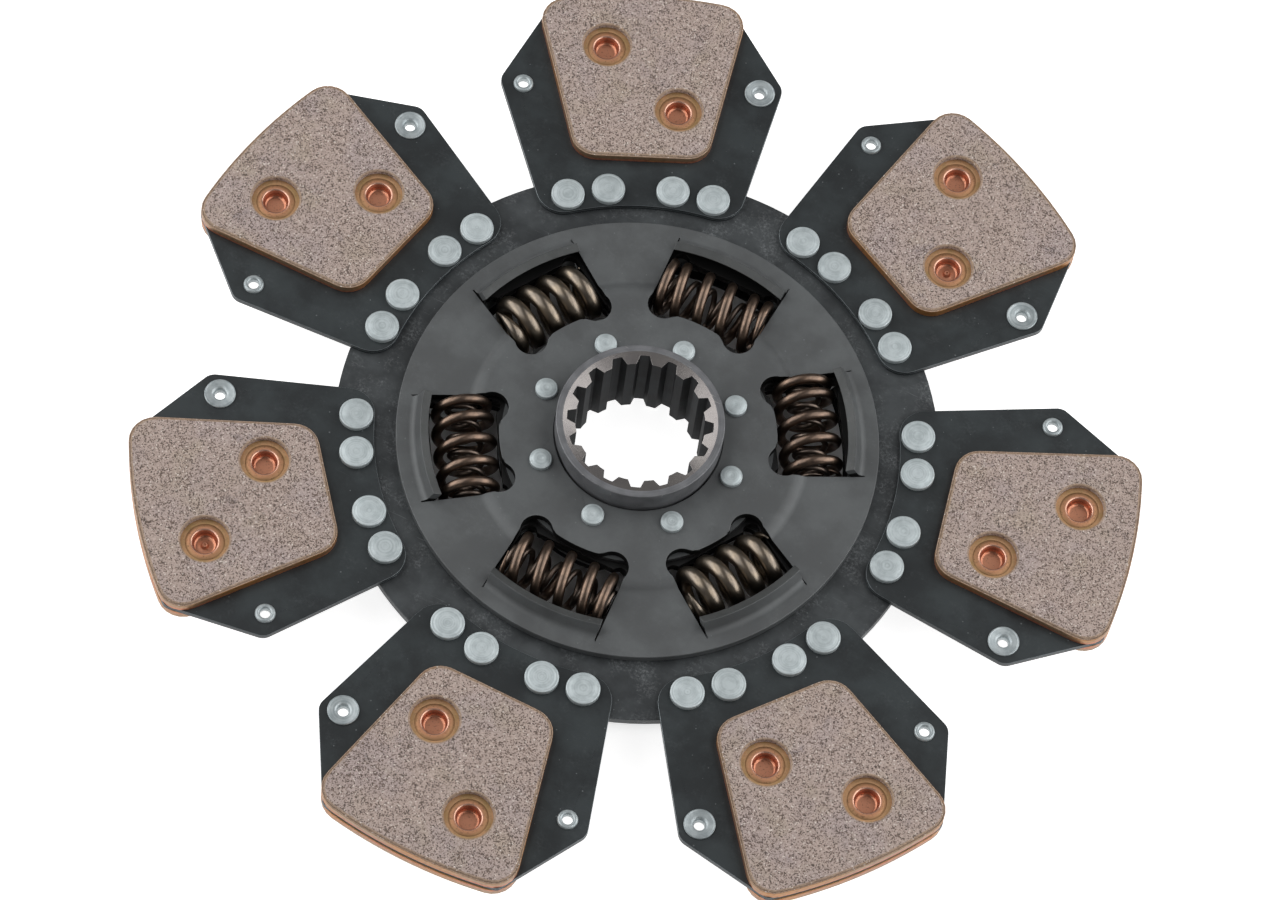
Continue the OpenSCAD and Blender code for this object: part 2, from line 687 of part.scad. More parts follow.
module paddle_plate(k, front) {
    color(steel_dark) at_paddle(k) on_stack(front) difference() {
        linear_extrude(plate_t) polygon(paddle_outline());
        translate([0, 0, -cut]) plate_holes();
    }
}

module tray(k, front) {
    color(copper) at_paddle(k) on_stack(front) translate([0, 0, plate_t]) difference() {
        linear_extrude(tray_h) polygon(pad_outline(0));
        translate([0, 0, tray_t]) linear_extrude(tray_h) polygon(pad_outline(tray_wall));
        at_pad_rivets() translate([0, 0, -cut])
            cylinder(d = pad_tube_d + 2 * rivet_gap, h = tray_t + 2 * cut, $fn = 32);
    }
}

module pad(k, front) {
    color(sinter) at_paddle(k) on_stack(front) translate([0, 0, plate_t + tray_t]) difference() {
        linear_extrude(pad_h - tray_t) polygon(pad_outline(tray_wall));
        at_pad_rivets() translate([0, 0, -cut]) cylinder(d = pocket_d, h = pad_h + 2 * cut, $fn = 64);
    }
}

// Semi-tubular pad rivets: a flange round the hollow in front, and a closed head behind

module pad_rivet() {
    tube = pad_tube_d / 2;
    bore = tube - pad_tube_wall;
    flange = pad_flange_d / 2;
    grip = plate_t + tray_t;
    face = grip + pad_flange_t;
    floor_z = face - pad_cup_depth;
    rotate_extrude($fn = 48) polygon(concat(
        [[0, -face], [flange - pad_rivet_edge, -face], [flange, pad_rivet_edge - face], [flange, -grip],
         [tube, -grip], [tube, grip], [flange, grip], [flange, face - pad_rivet_edge],
         [flange - pad_rivet_edge, face]],
        arc([bore + pad_mouth_r, face - pad_mouth_r], pad_mouth_r, 90, 180, 5),
        arc([bore - pad_cup_fillet, floor_z + pad_cup_fillet], pad_cup_fillet, 0, -90, 4),
        [[0, floor_z]]));
}

module pad_rivets() {
    color(copper) for (k = [1:PADDLES]) at_paddle(k) on_stack(true) at_pad_rivets() pad_rivet();
}

// Eyelets: a tube with a wide thin head on one side and a rolled end on the other

module eyelet() {
    bore = eyelet_bore / 2;
    tube = bore + eyelet_wall;
    head = tube + eyelet_head_w;
    roll = tube + eyelet_roll_w;
    rotate_extrude($fn = 48) polygon(concat(
        [[bore, plate_t - 0.2], [bore + 0.15, plate_t + 0.35]],
        [[bore + 0.55, plate_t + 0.55], [head - 0.45, plate_t + 0.45], [head - 0.2, plate_t + 0.6],
         [head, plate_t + 0.4], [head, plate_t], [tube, plate_t], [tube, -plate_t], [roll, -plate_t],
         [roll, -plate_t - 0.35], [roll - 0.25, -plate_t - 0.75], [roll - 0.65, -plate_t - 0.9],
         [bore + 0.3, -plate_t - 0.6], [bore, -plate_t]]));
}

module eyelets() {
    color(zinc) for (k = [1:PADDLES]) at_paddle(k) {
        on_stack(true) translate(EYELET) eyelet();
        on_stack(false) mirror([1, 0, 0]) translate(EYELET) eyelet();
    }
}

hub();
front_side_plate();
rear_side_plate();
hub_rivets();
carrier_disc();
front_friction_ring();
rear_friction_ring();
spring_washer();
for (i = [0:5]) damper_spring(WINDOWS[i]);
inner_springs();
for (k = [1:PADDLES]) {
    paddle_plate(k, true);
    paddle_plate(k, false);
    tray(k, true);
    tray(k, false);
    pad(k, true);
    pad(k, false);
}
carrier_rivets();
pad_rivets();
eyelets();
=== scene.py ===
"""Clutch disc with sintered pads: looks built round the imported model."""

import json
import math

import bmesh
import bpy
from mathutils import Matrix, Vector

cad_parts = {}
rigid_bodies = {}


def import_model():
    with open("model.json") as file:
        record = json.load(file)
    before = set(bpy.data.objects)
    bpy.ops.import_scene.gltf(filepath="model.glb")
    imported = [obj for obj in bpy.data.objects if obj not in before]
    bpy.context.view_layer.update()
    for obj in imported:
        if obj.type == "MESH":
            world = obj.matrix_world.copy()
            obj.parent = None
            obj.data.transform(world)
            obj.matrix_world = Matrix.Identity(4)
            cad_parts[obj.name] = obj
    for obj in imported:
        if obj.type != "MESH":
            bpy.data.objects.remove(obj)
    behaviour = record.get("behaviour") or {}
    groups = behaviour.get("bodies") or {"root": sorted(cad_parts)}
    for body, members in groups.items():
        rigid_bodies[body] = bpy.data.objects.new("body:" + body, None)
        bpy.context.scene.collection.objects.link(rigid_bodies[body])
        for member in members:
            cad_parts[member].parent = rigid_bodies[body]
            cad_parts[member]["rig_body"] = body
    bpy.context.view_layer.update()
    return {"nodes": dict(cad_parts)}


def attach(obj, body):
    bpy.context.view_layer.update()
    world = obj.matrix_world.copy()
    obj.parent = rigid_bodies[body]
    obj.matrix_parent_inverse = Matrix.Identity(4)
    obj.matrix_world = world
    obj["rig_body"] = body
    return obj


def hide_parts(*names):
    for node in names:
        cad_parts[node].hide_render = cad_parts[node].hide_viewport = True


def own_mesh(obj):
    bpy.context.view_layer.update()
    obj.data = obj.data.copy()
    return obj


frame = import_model()

MM = 0.001

# Sizes of the disc in millimetres and degrees, the same as the part's source
PADDLES = 7
MID_Z = 14.7
SPLINE_MAJOR_R = 22.35
MOUTH_R = 23.7
STACK_MID = 2.5
COVER_TOP = 6.3
PLATE_T = 1.0
TRAY_T = 1.0
TRAY_H = 3.0
CARRIER_RIVET_RING = 86.206
CARRIER_RIVET_X = (10.1, 22.73)
CARRIER_HEAD_R = 5.2
CARRIER_SHANK_R = 3.0
CARRIER_GRIP = 5.0
HEAD_H = 1.8
HUB_RIVETS = 8
HUB_RIVET_RING = 31.5
HUB_HEAD_R = 3.45
HUB_SHANK_R = 2.4
PAD_RIVETS = ((-11.31, 136.13), (11.48, 113.62))
PAD_TUBE_R = 4.3
PAD_BORE_R = 3.8
PAD_FLANGE_R = 6.0
PAD_FLANGE_T = 0.5
PAD_CUP_DEPTH = 3.4
PAD_CUP_FILLET = 1.2
PAD_MOUTH_R = 0.55
EYELET = (37.35, 122.6)
EYELET_BORE_R = 1.575
EYELET_TUBE_R = 2.1
EYELET_HEAD_R = 4.85
EYELET_ROLL_R = 3.15
SPRING_RING = 52.8
SPRING_OD = 20.0
SPRING_ROOM = 0.1
WINDOW_FLARE = 0.07
SPRING_WIRE = 3.1
SPRING_PITCH = 7.7
HEAVY_WIRE = 5.0
HEAVY_PITCH = 7.15
INNER_OD = 11.5
INNER_WIRE = 1.8
INNER_PITCH = 5.3
# Azimuth, window width, turn of the first crest, heavy or not
WINDOWS = (
    (90.0, 36.0, 0.35, False),
    (31.8, 34.3, 0.42, False),
    (-31.8, 33.6, 0.92, True),
    (-90.0, 36.0, 0.59, False),
    (-148.2, 34.3, 0.76, False),
    (148.2, 33.6, 0.11, True),
)
PAD_STACK = MID_Z + STACK_MID

# Camera of the photograph, found from where the rivets are in it
CAMERA_ELEVATION = 63.68
CAMERA_ROLL = 9.15
CAMERA_TURN = 18.06
CAMERA_DISTANCE = 1.682
CAMERA_FOCAL_PX = 5509
CAMERA_CLIP = (0.05, 20)
AXIS_PIXEL = (638.26, 435.01)
AXIS_HEIGHT = 20.0
PHOTO_SIZE = (1280, 900)
SENSOR_MM = 36.0

# Light, in metres and watts. A softbox stands to the side, beyond and above the hub as the camera sees it
ROOM_LIGHT = 0.12
SOFTBOXES = (
    ("upper softbox", 0.72, 0.1, 1.2, (1.9, 0.6), 6.0),
    ("lower softbox", 1.27, 0.1, 0.6, (1.9, 0.8), 12.5),
)
FLOOR_HALF = 6
FLOOR_GLOW = 0.86
# Between these radii the disc covers the floor, and there the floor's glow is taken away as painted shade,
# on top of the disc's real shadow
SHADE_FROM = (23, 34)
SHADE_TO = (74, 92)


# Node helpers


def add(tree, kind, settings=None, inputs=None):
    """Adds a node with its settings, and sets or links its inputs, each given by its number or name."""
    made = tree.nodes.new(kind)
    for key, value in (settings or {}).items():
        setattr(made, key, value)
    for key, value in (inputs or {}).items():
        if isinstance(key, int):
            into = made.inputs[key]
        else:
            into = next(s for s in made.inputs if s.enabled and s.name == key)
        if isinstance(value, bpy.types.Node):
            value = next(s for s in value.outputs if s.enabled)
        if isinstance(value, bpy.types.NodeSocket):
            tree.links.new(value, into)
        else:
            into.default_value = value
    return made


def linear(code):
    """An sRGB hex colour as linear values."""
    parts = [int(code[i : i + 2], 16) / 255 for i in (1, 3, 5)]
    return (*(c / 12.92 if c <= 0.04045 else ((c + 0.055) / 1.055) ** 2.4 for c in parts), 1.0)


def per_mm(size):
    """Texture scale that repeats a pattern every size millimetres."""
    return 1.0 / (size * MM)


RGBA = {"data_type": "RGBA"}
TINTED = {"data_type": "RGBA", "blend_type": "MULTIPLY"}
SMOOTH = {"interpolation_type": "SMOOTHSTEP"}
TIMES = {"operation": "MULTIPLY"}
TIMES_ADD = {"operation": "MULTIPLY_ADD"}
LESS = {"operation": "SUBTRACT"}
SIZE_OF = {"operation": "ABSOLUTE"}


def new_material(name, roughness, metallic):
    """A material, its tree and its Object coordinates."""
    made = bpy.data.materials.new(name)
    made.use_nodes = True
    tree = made.node_tree
    tree.nodes["Principled BSDF"].inputs["Roughness"].default_value = roughness
    tree.nodes["Principled BSDF"].inputs["Metallic"].default_value = metallic
    return made, tree, add(tree, "ShaderNodeTexCoord").outputs["Object"]


def off_axis(tree, at):
    """Distance of a point from the Z axis."""
    level = add(tree, "ShaderNodeVectorMath", TIMES, {0: at, 1: (1, 1, 0)})
    return add(tree, "ShaderNodeVectorMath", {"operation": "LENGTH"}, {0: level}).outputs["Value"]


def dress(made, colour, gloss=None, relief=None, strength=0.0, depth=0.0):
    """Gives a material its colour, and its gloss and relief where it has them, depth millimetres deep."""
    tree = made.node_tree
    shader = tree.nodes["Principled BSDF"]
    tree.links.new(colour.outputs[2], shader.inputs["Base Color"])
    if gloss:
        tree.links.new(gloss.outputs[0], shader.inputs["Roughness"])
    if relief:
        bump = add(tree, "ShaderNodeBump",
                   inputs={"Strength": strength, "Distance": depth * MM, "Height": relief})
        tree.links.new(bump.outputs["Normal"], shader.inputs["Normal"])
    return made


# Materials, each named for what the real one is, or for the shade painted into it


def sintered_bronze(name, warm, lilac, olive, pepper):
    """Bronze powder sintered with graphite and grit: dry pinkish grey, peppered dark, a few painted glints.
    """
    made, tree, place = new_material(name, 0.8, 0.0)
    # Graphite flakes of 0.36 mm, in crowds 2.6 mm wide
    flakes = add(tree, "ShaderNodeTexVoronoi", inputs={"Vector": place, "Scale": per_mm(0.36)})
    chance = add(tree, "ShaderNodeSeparateColor", inputs={"Color": flakes.outputs["Color"]})
    crowd = add(tree, "ShaderNodeTexNoise", inputs={"Vector": place, "Scale": per_mm(2.6), "Detail": 4.0})
    lean = add(tree, "ShaderNodeMath", TIMES_ADD, {0: crowd, 1: -0.55, 2: chance.outputs["Red"]})
    flake = add(tree, "ShaderNodeMapRange", SMOOTH,
                {"Value": lean, "From Min": 0.12, "From Max": -0.1, "To Max": pepper})
    # The mix is uneven over 11 to 16 mm, as the powder was spread
    spread = add(tree, "ShaderNodeTexNoise", inputs={"Vector": place, "Scale": per_mm(16), "Detail": 3.0})
    cool = add(tree, "ShaderNodeMapRange", SMOOTH,
               {"Value": spread, "From Min": 0.42, "From Max": 0.7, "To Max": 0.5})
    stain = add(tree, "ShaderNodeTexNoise", inputs={"Vector": place, "Scale": per_mm(11), "Detail": 2.0})
    tan = add(tree, "ShaderNodeMapRange", SMOOTH,
              {"Value": stain, "From Min": 0.5, "From Max": 0.76, "To Max": 0.5})
    # Graphite smeared in a few places, 6 mm long
    smear = add(tree, "ShaderNodeTexNoise",
                inputs={"Vector": place, "Scale": per_mm(6), "Detail": 6.0, "Roughness": 0.65})
    grey = add(tree, "ShaderNodeMapRange", SMOOTH,
               {"Value": smear, "From Min": 0.58, "From Max": 0.74, "To Max": 0.6})
    body = linear(warm)
    for share, code in ((cool, lilac), (tan, olive), (grey, "#8b8182")):
        body = add(tree, "ShaderNodeMix", RGBA, {"Factor": share, "A": body, "B": linear(code)})
    # Powder grains, drawn at 0.27 mm so that they show
    powder = add(tree, "ShaderNodeTexVoronoi", inputs={"Vector": place, "Scale": per_mm(0.27)})
    grain = add(tree, "ShaderNodeSeparateColor", inputs={"Color": powder.outputs["Color"]})
    light = add(tree, "ShaderNodeMapRange", inputs={"Value": grain, "To Min": 0.78, "To Max": 1.2})
    body = add(tree, "ShaderNodeMix", TINTED, {"Factor": 1.0, "A": body, "B": light})
    dark = add(tree, "ShaderNodeMix", RGBA,
               {"Factor": chance.outputs["Green"], "A": linear("#6b584d"), "B": linear("#2c201b")})
    body = add(tree, "ShaderNodeMix", RGBA, {"Factor": flake, "A": body, "B": dark})
    # Pale specks are painted glints of light on the grains
    painted_glint = add(tree, "ShaderNodeMapRange",
                inputs={"Value": chance.outputs["Blue"], "From Min": 0.965, "From Max": 0.99})
    body = add(tree, "ShaderNodeMix", RGBA, {"Factor": painted_glint, "A": body, "B": linear("#d6cbc2")})
    pits = add(tree, "ShaderNodeMath", LESS, {0: powder.outputs["Distance"], 1: flake})
    return dress(made, body, None, pits, 0.6, 0.04)


def tray_floor():
    """Steel plated with copper and tinted by the furnace: warm pink metal, clouded gold and olive."""
    made, tree, place = new_material("Furnace-stained copper plate", 0.55, 0.6)
    cloud = add(tree, "ShaderNodeTexNoise", inputs={"Vector": place, "Scale": per_mm(4), "Detail": 5.0})
    tint = add(tree, "ShaderNodeMapRange", SMOOTH, {"Value": cloud, "From Min": 0.4, "From Max": 0.68})
    colour = add(tree, "ShaderNodeMix", RGBA,
                 {"Factor": tint, "A": linear("#d0a57c"), "B": linear("#bb9a6c")})
    # Blisters and pits of the plating, 0.5 mm
    pits = add(tree, "ShaderNodeTexNoise", inputs={"Vector": place, "Scale": per_mm(0.5), "Detail": 3.0})
    dull = add(tree, "ShaderNodeMapRange",
               inputs={"Value": pits, "From Min": 0.3, "From Max": 0.5, "To Min": 0.78, "To Max": 1.0})
    colour = add(tree, "ShaderNodeMix", TINTED, {"Factor": 1.0, "A": colour, "B": dull})
    gloss = add(tree, "ShaderNodeMapRange", inputs={"Value": cloud, "To Min": 0.43, "To Max": 0.67})
    return dress(made, colour, gloss, pits, 0.35, 0.03)


def rivet_copper():
    """Copper-plated steel of a rivet: bright red in its hollow, a soft pink flange, tan at its edge."""
    made, tree, place = new_material("Copper-plated rivet steel", 0.3, 0.8)
    reach = off_axis(tree, add(tree, "ShaderNodeAttribute", {"attribute_name": "own"}).outputs["Vector"])
    cloud = add(tree, "ShaderNodeTexNoise", inputs={"Vector": place, "Scale": per_mm(2.2), "Detail": 5.0})
    waver = add(tree, "ShaderNodeMath", TIMES_ADD, {0: cloud, 1: 1.4 * MM, 2: reach})
    flange = add(tree, "ShaderNodeMapRange", SMOOTH,
                 {"Value": reach, "From Min": PAD_BORE_R * MM, "From Max": (PAD_BORE_R + 0.7) * MM})
    stained = add(tree, "ShaderNodeMapRange", SMOOTH,
                  {"Value": waver, "From Min": 5.2 * MM, "From Max": 6.7 * MM, "To Max": 0.85})
    mottle = add(tree, "ShaderNodeMapRange", SMOOTH, {"Value": cloud, "From Min": 0.36, "From Max": 0.66})
    bottom = add(tree, "ShaderNodeMapRange", SMOOTH,
                 {"Value": reach, "From Min": (PAD_BORE_R - 0.9) * MM,
                  "From Max": (PAD_BORE_R - 1.5) * MM})
    # The punch burnished the mouth's round edge, which is smoother there; its paler colour is partly a
    # painted highlight
    off_edge = add(tree, "ShaderNodeMath", LESS, {0: reach, 1: (PAD_BORE_R + 0.5 * PAD_MOUTH_R) * MM})
    off_edge = add(tree, "ShaderNodeMath", SIZE_OF, {0: off_edge})
    burnish_and_highlight = add(tree, "ShaderNodeMapRange", SMOOTH,
                    {"Value": off_edge, "From Min": 0.45 * MM, "From Max": 0.1 * MM})
    colour = linear("#b7785e")
    for share, code in ((mottle, "#cf8d70"), (bottom, "#c48c70"), (flange, "#c7916f"), (stained, "#a98862"),
                        (burnish_and_highlight, "#dcac95")):
        colour = add(tree, "ShaderNodeMix", RGBA, {"Factor": share, "A": colour, "B": linear(code)})
    # Pits of the plating, up to 0.6 mm
    pits = add(tree, "ShaderNodeTexNoise", inputs={"Vector": place, "Scale": per_mm(0.6), "Detail": 3.0})
    dull = add(tree, "ShaderNodeMapRange",
               inputs={"Value": pits, "From Min": 0.32, "From Max": 0.42, "To Min": 0.6, "To Max": 1.0})
    colour = add(tree, "ShaderNodeMix", TINTED, {"Factor": 1.0, "A": colour, "B": dull})
    satin = add(tree, "ShaderNodeMath", {"operation": "MAXIMUM"}, {0: flange, 1: bottom})
    satin = add(tree, "ShaderNodeMath", {"operation": "SUBTRACT", "use_clamp": True},
                {0: satin, 1: burnish_and_highlight})
    gloss = add(tree, "ShaderNodeMapRange", inputs={"Value": satin, "To Min": 0.26, "To Max": 0.5})
    return dress(made, colour, gloss, pits, 0.3, 0.03)


def tray_wall():
    """Drawn steel, copper-plated: a tray's wall, scaled tan, pink at its foot, gold where it got hot."""
    made, tree, place = new_material("Furnace-scaled copper plate", 0.42, 0.6)
    height = add(tree, "ShaderNodeSeparateXYZ", inputs={"Vector": place}).outputs["Z"]
    out = add(tree, "ShaderNodeMath", LESS, {0: height, 1: PAD_STACK * MM})
    out = add(tree, "ShaderNodeMath", SIZE_OF, {0: out})
    waver = add(tree, "ShaderNodeTexNoise", inputs={"Vector": place, "Scale": per_mm(7), "Detail": 3.0})
    edge = add(tree, "ShaderNodeMath", TIMES_ADD, {0: waver, 1: 1.6 * MM, 2: out})
    scale = add(tree, "ShaderNodeMapRange", SMOOTH,
                {"Value": edge, "From Min": 2.2 * MM, "From Max": 3.4 * MM})
    wall = add(tree, "ShaderNodeMix", RGBA,
               {"Factor": scale, "A": linear("#c1775a"), "B": linear("#a08266")})
    heat = add(tree, "ShaderNodeTexNoise", inputs={"Vector": place, "Scale": per_mm(24), "Detail": 1.0})
    hot = add(tree, "ShaderNodeMapRange", SMOOTH,
              {"Value": heat, "From Min": 0.48, "From Max": 0.7, "To Max": 0.75})
    wall = add(tree, "ShaderNodeMix", RGBA, {"Factor": hot, "A": wall, "B": linear("#b67a3a")})
    grime = add(tree, "ShaderNodeTexNoise", inputs={"Vector": place, "Scale": per_mm(1.2), "Detail": 5.0})
    dull = add(tree, "ShaderNodeMapRange",
               inputs={"Value": grime, "From Min": 0.3, "From Max": 0.55, "To Min": 0.72, "To Max": 1.0})
    wall = add(tree, "ShaderNodeMix", TINTED, {"Factor": 1.0, "A": wall, "B": dull})
    return dress(made, wall)


def rolled_sheet(name, base, cloudy, worn, scuffed, roughness, metallic, painted_shade_r=0.0):
    """Blackened sheet steel: satin and near black, clouded by dried oil, with specks and rubbed streaks.

    Within painted_shade_r millimetres of the hub's axis it lies between other plates, and is painted near
    black there as shade.
    """
    made, tree, place = new_material(name, roughness, metallic)
    cloud = add(tree, "ShaderNodeTexNoise",
                inputs={"Vector": place, "Scale": per_mm(17), "Detail": 6.0, "Roughness": 0.6})
    oil = add(tree, "ShaderNodeMapRange", SMOOTH, {"Value": cloud, "From Min": 0.36, "From Max": 0.66})
    colour = add(tree, "ShaderNodeMix", RGBA, {"Factor": oil, "A": linear(base), "B": linear(cloudy)})
    # Where it was rubbed, in patches of a few millimetres, the high spots are pale
    patch = add(tree, "ShaderNodeTexNoise",
                inputs={"Vector": place, "Scale": per_mm(9), "Detail": 6.0, "Roughness": 0.7})
    rubbed = add(tree, "ShaderNodeMapRange", SMOOTH,
                 {"Value": patch, "From Min": 0.46, "From Max": 0.72, "To Max": scuffed})
    spots = add(tree, "ShaderNodeTexNoise",
                inputs={"Vector": place, "Scale": per_mm(0.9), "Detail": 6.0, "Roughness": 0.75})
    high = add(tree, "ShaderNodeMapRange", SMOOTH, {"Value": spots, "From Min": 0.42, "From Max": 0.66})
    share = add(tree, "ShaderNodeMath", TIMES, {0: high, 1: rubbed})
    colour = add(tree, "ShaderNodeMix", RGBA, {"Factor": share, "A": colour, "B": linear(worn)})
    # Scratches 0.4 mm wide and some 10 mm long lie two ways
    for turn in (25, 118):
        lined = add(tree, "ShaderNodeMapping", inputs={
            "Vector": place, "Rotation": (0, 0, math.radians(turn)), "Scale": (1, 25, 1)})
        streak = add(tree, "ShaderNodeTexNoise",
                     inputs={"Vector": lined, "Scale": per_mm(10), "Detail": 2.0})
        line = add(tree, "ShaderNodeMapRange", SMOOTH,
                   {"Value": streak, "From Min": 0.7, "From Max": 0.8, "To Max": 0.5 * scuffed})
        colour = add(tree, "ShaderNodeMix", RGBA, {"Factor": line, "A": colour, "B": linear(worn)})
    # Dust specks up to 0.5 mm across, one in 3 mm
    dust = add(tree, "ShaderNodeTexVoronoi", inputs={"Vector": place, "Scale": per_mm(3.1)})
    size = add(tree, "ShaderNodeSeparateColor", inputs={"Color": dust.outputs["Color"]})
    reach = add(tree, "ShaderNodeMath", TIMES, {0: size, 1: 0.09})
    speck = add(tree, "ShaderNodeMath", {"operation": "LESS_THAN"},
                {0: dust.outputs["Distance"], 1: reach})
    faint = add(tree, "ShaderNodeMath", TIMES, {0: speck, 1: 0.5})
    colour = add(tree, "ShaderNodeMix", RGBA, {"Factor": faint, "A": colour, "B": linear("#7b8082")})
    if painted_shade_r:
        # Painted shade: near black where the side plates cover the sheet
        black = add(tree, "ShaderNodeMapRange", SMOOTH,
                    {"Value": off_axis(tree, place), "From Min": painted_shade_r * MM,
                     "From Max": (painted_shade_r - 2) * MM})
        colour = add(tree, "ShaderNodeMix", RGBA, {"Factor": black, "A": colour, "B": linear("#040404")})
    gloss = add(tree, "ShaderNodeMapRange",
                inputs={"Value": cloud, "To Min": roughness - 0.08, "To Max": roughness + 0.08})
    mill = add(tree, "ShaderNodeTexNoise", inputs={"Vector": place, "Scale": per_mm(0.8), "Detail": 3.0})
    return dress(made, colour, gloss, mill, 0.15, 0.02)


def turned_steel(name, base, shade, roughness, metallic):
    """Steel turned on a lathe: fine rings round the hub's axis under a thin oil film, and a few nicks."""
    made, tree, place = new_material(name, roughness, metallic)
    height = add(tree, "ShaderNodeSeparateXYZ", inputs={"Vector": place}).outputs["Z"]
    along = add(tree, "ShaderNodeMath", {"operation": "ADD"}, {0: off_axis(tree, place), 1: height})
    # Feed marks are about 0.1 mm apart; drawn at 0.3 mm so that they show
    feed = add(tree, "ShaderNodeTexNoise", {"noise_dimensions": "1D"},
               {"W": along, "Scale": per_mm(0.3), "Detail": 2.0})
    film = add(tree, "ShaderNodeTexNoise", inputs={"Vector": place, "Scale": per_mm(5), "Detail": 5.0})
    both = add(tree, "ShaderNodeMath", TIMES_ADD, {0: feed, 1: 0.35, 2: film})
    tone = add(tree, "ShaderNodeMapRange", SMOOTH, {"Value": both, "From Min": 0.45, "From Max": 0.9})
    colour = add(tree, "ShaderNodeMix", RGBA, {"Factor": tone, "A": linear(shade), "B": linear(base)})
    # Nicks 5 mm long and 0.4 mm wide
    nicks = add(tree, "ShaderNodeMapping",
                inputs={"Vector": place, "Rotation": (0.3, 0, 0.7), "Scale": (1, 12, 1)})
    nick = add(tree, "ShaderNodeTexNoise", inputs={"Vector": nicks, "Scale": per_mm(5), "Detail": 2.0})
    pale = add(tree, "ShaderNodeMapRange", SMOOTH,
               {"Value": nick, "From Min": 0.7, "From Max": 0.76, "To Max": 0.6})
    colour = add(tree, "ShaderNodeMix", RGBA, {"Factor": pale, "A": colour, "B": linear("#c9c5bf")})
    return dress(made, colour, None, feed, 0.25, 0.02)


def broached_steel():
    """The spline as the broach left it: blue-black, with fine lines along the hub."""
    made, tree, place = new_material("Broached steel, near black", 0.68, 0.4)
    # The broach's lines, 0.7 mm apart
    drawn = add(tree, "ShaderNodeMapping", inputs={"Vector": place, "Scale": (1, 1, 0.03)})
    lines = add(tree, "ShaderNodeTexNoise", inputs={"Vector": drawn, "Scale": per_mm(0.7), "Detail": 3.0})
    cloud = add(tree, "ShaderNodeTexNoise", inputs={"Vector": place, "Scale": per_mm(6), "Detail": 4.0})
    both = add(tree, "ShaderNodeMath", TIMES_ADD, {0: lines, 1: 0.6, 2: cloud})
    tone = add(tree, "ShaderNodeMapRange", SMOOTH, {"Value": both, "From Min": 0.6, "From Max": 1.0})
    # The spline is near black, much darker than the turned faces
    colour = add(tree, "ShaderNodeMix", RGBA,
                 {"Factor": tone, "A": linear("#0d0e10"), "B": linear("#202326")})
    return dress(made, colour, None, lines, 0.3, 0.02)


def zinc_plate(name, base, shade, roughness):
    """Cold-headed metal, zinc-plated: pale blue-grey, mottled, with the die's faint rings."""
    made, tree, place = new_material(name, roughness, 0.45)
    own = add(tree, "ShaderNodeAttribute", {"attribute_name": "own"}).outputs["Vector"]
    tint = add(tree, "ShaderNodeAttribute", {"attribute_name": "tint"}).outputs["Fac"]
    start = add(tree, "ShaderNodeMath", TIMES_ADD, {0: tint, 1: 40 * MM, 2: off_axis(tree, own)})
    # The die's turning marks, 0.55 mm apart, start elsewhere on each rivet
    rings = add(tree, "ShaderNodeTexNoise", {"noise_dimensions": "1D"},
                {"W": start, "Scale": per_mm(0.55), "Detail": 1.0})
    mottle = add(tree, "ShaderNodeTexNoise",
                 inputs={"Vector": place, "Scale": per_mm(2.4), "Detail": 5.0, "Roughness": 0.6})
    both = add(tree, "ShaderNodeMath", TIMES_ADD, {0: rings, 1: 0.5, 2: mottle})
    tone = add(tree, "ShaderNodeMapRange", SMOOTH, {"Value": both, "From Min": 0.5, "From Max": 0.95})
    colour = add(tree, "ShaderNodeMix", RGBA, {"Factor": tone, "A": linear(shade), "B": linear(base)})
    cast = add(tree, "ShaderNodeMapRange", inputs={"Value": tint, "To Min": 0.9, "To Max": 1.02})
    colour = add(tree, "ShaderNodeMix", TINTED, {"Factor": 1.0, "A": colour, "B": cast})
    return dress(made, colour, None, both, 0.3, 0.03)


def spring_wire(name, base, bronzed, roughness):
    """Oil-tempered spring wire: dark and glossy, bronzed by the tempering, a little uneven with oil."""
    made, tree, place = new_material(name, roughness, 1.0)
    cloud = add(tree, "ShaderNodeTexNoise",
                inputs={"Vector": place, "Scale": per_mm(3), "Detail": 5.0, "Roughness": 0.6})
    tint = add(tree, "ShaderNodeMapRange", SMOOTH, {"Value": cloud, "From Min": 0.35, "From Max": 0.68})
    colour = add(tree, "ShaderNodeMix", RGBA, {"Factor": tint, "A": linear(base), "B": linear(bronzed)})
    fine = add(tree, "ShaderNodeTexNoise", inputs={"Vector": place, "Scale": per_mm(0.45), "Detail": 3.0})
    gloss = add(tree, "ShaderNodeMapRange",
                inputs={"Value": fine, "To Min": roughness - 0.05, "To Max": roughness + 0.05})
    return dress(made, colour, gloss, fine, 0.1, 0.01)


def friction_ring():
    """Moulded friction ring of resin and chopped fibre: matt black with short pale fibres."""
    made, tree, place = new_material("Moulded fibre friction ring", 0.8, 0.0)
    laid = add(tree, "ShaderNodeMapping",
               inputs={"Vector": place, "Rotation": (0, 0, 0.5), "Scale": (1, 5, 1)})
    fibre = add(tree, "ShaderNodeTexNoise", inputs={"Vector": laid, "Scale": per_mm(2), "Detail": 3.0})
    shown = add(tree, "ShaderNodeMapRange", SMOOTH, {"Value": fibre, "From Min": 0.55, "From Max": 0.7})
    colour = add(tree, "ShaderNodeMix", RGBA,
                 {"Factor": shown, "A": linear("#18181a"), "B": linear("#3a3936")})
    return dress(made, colour)


# Within this radius the side plates cover the carrier disc, which is painted near black there as shade
COVERED_R = 72

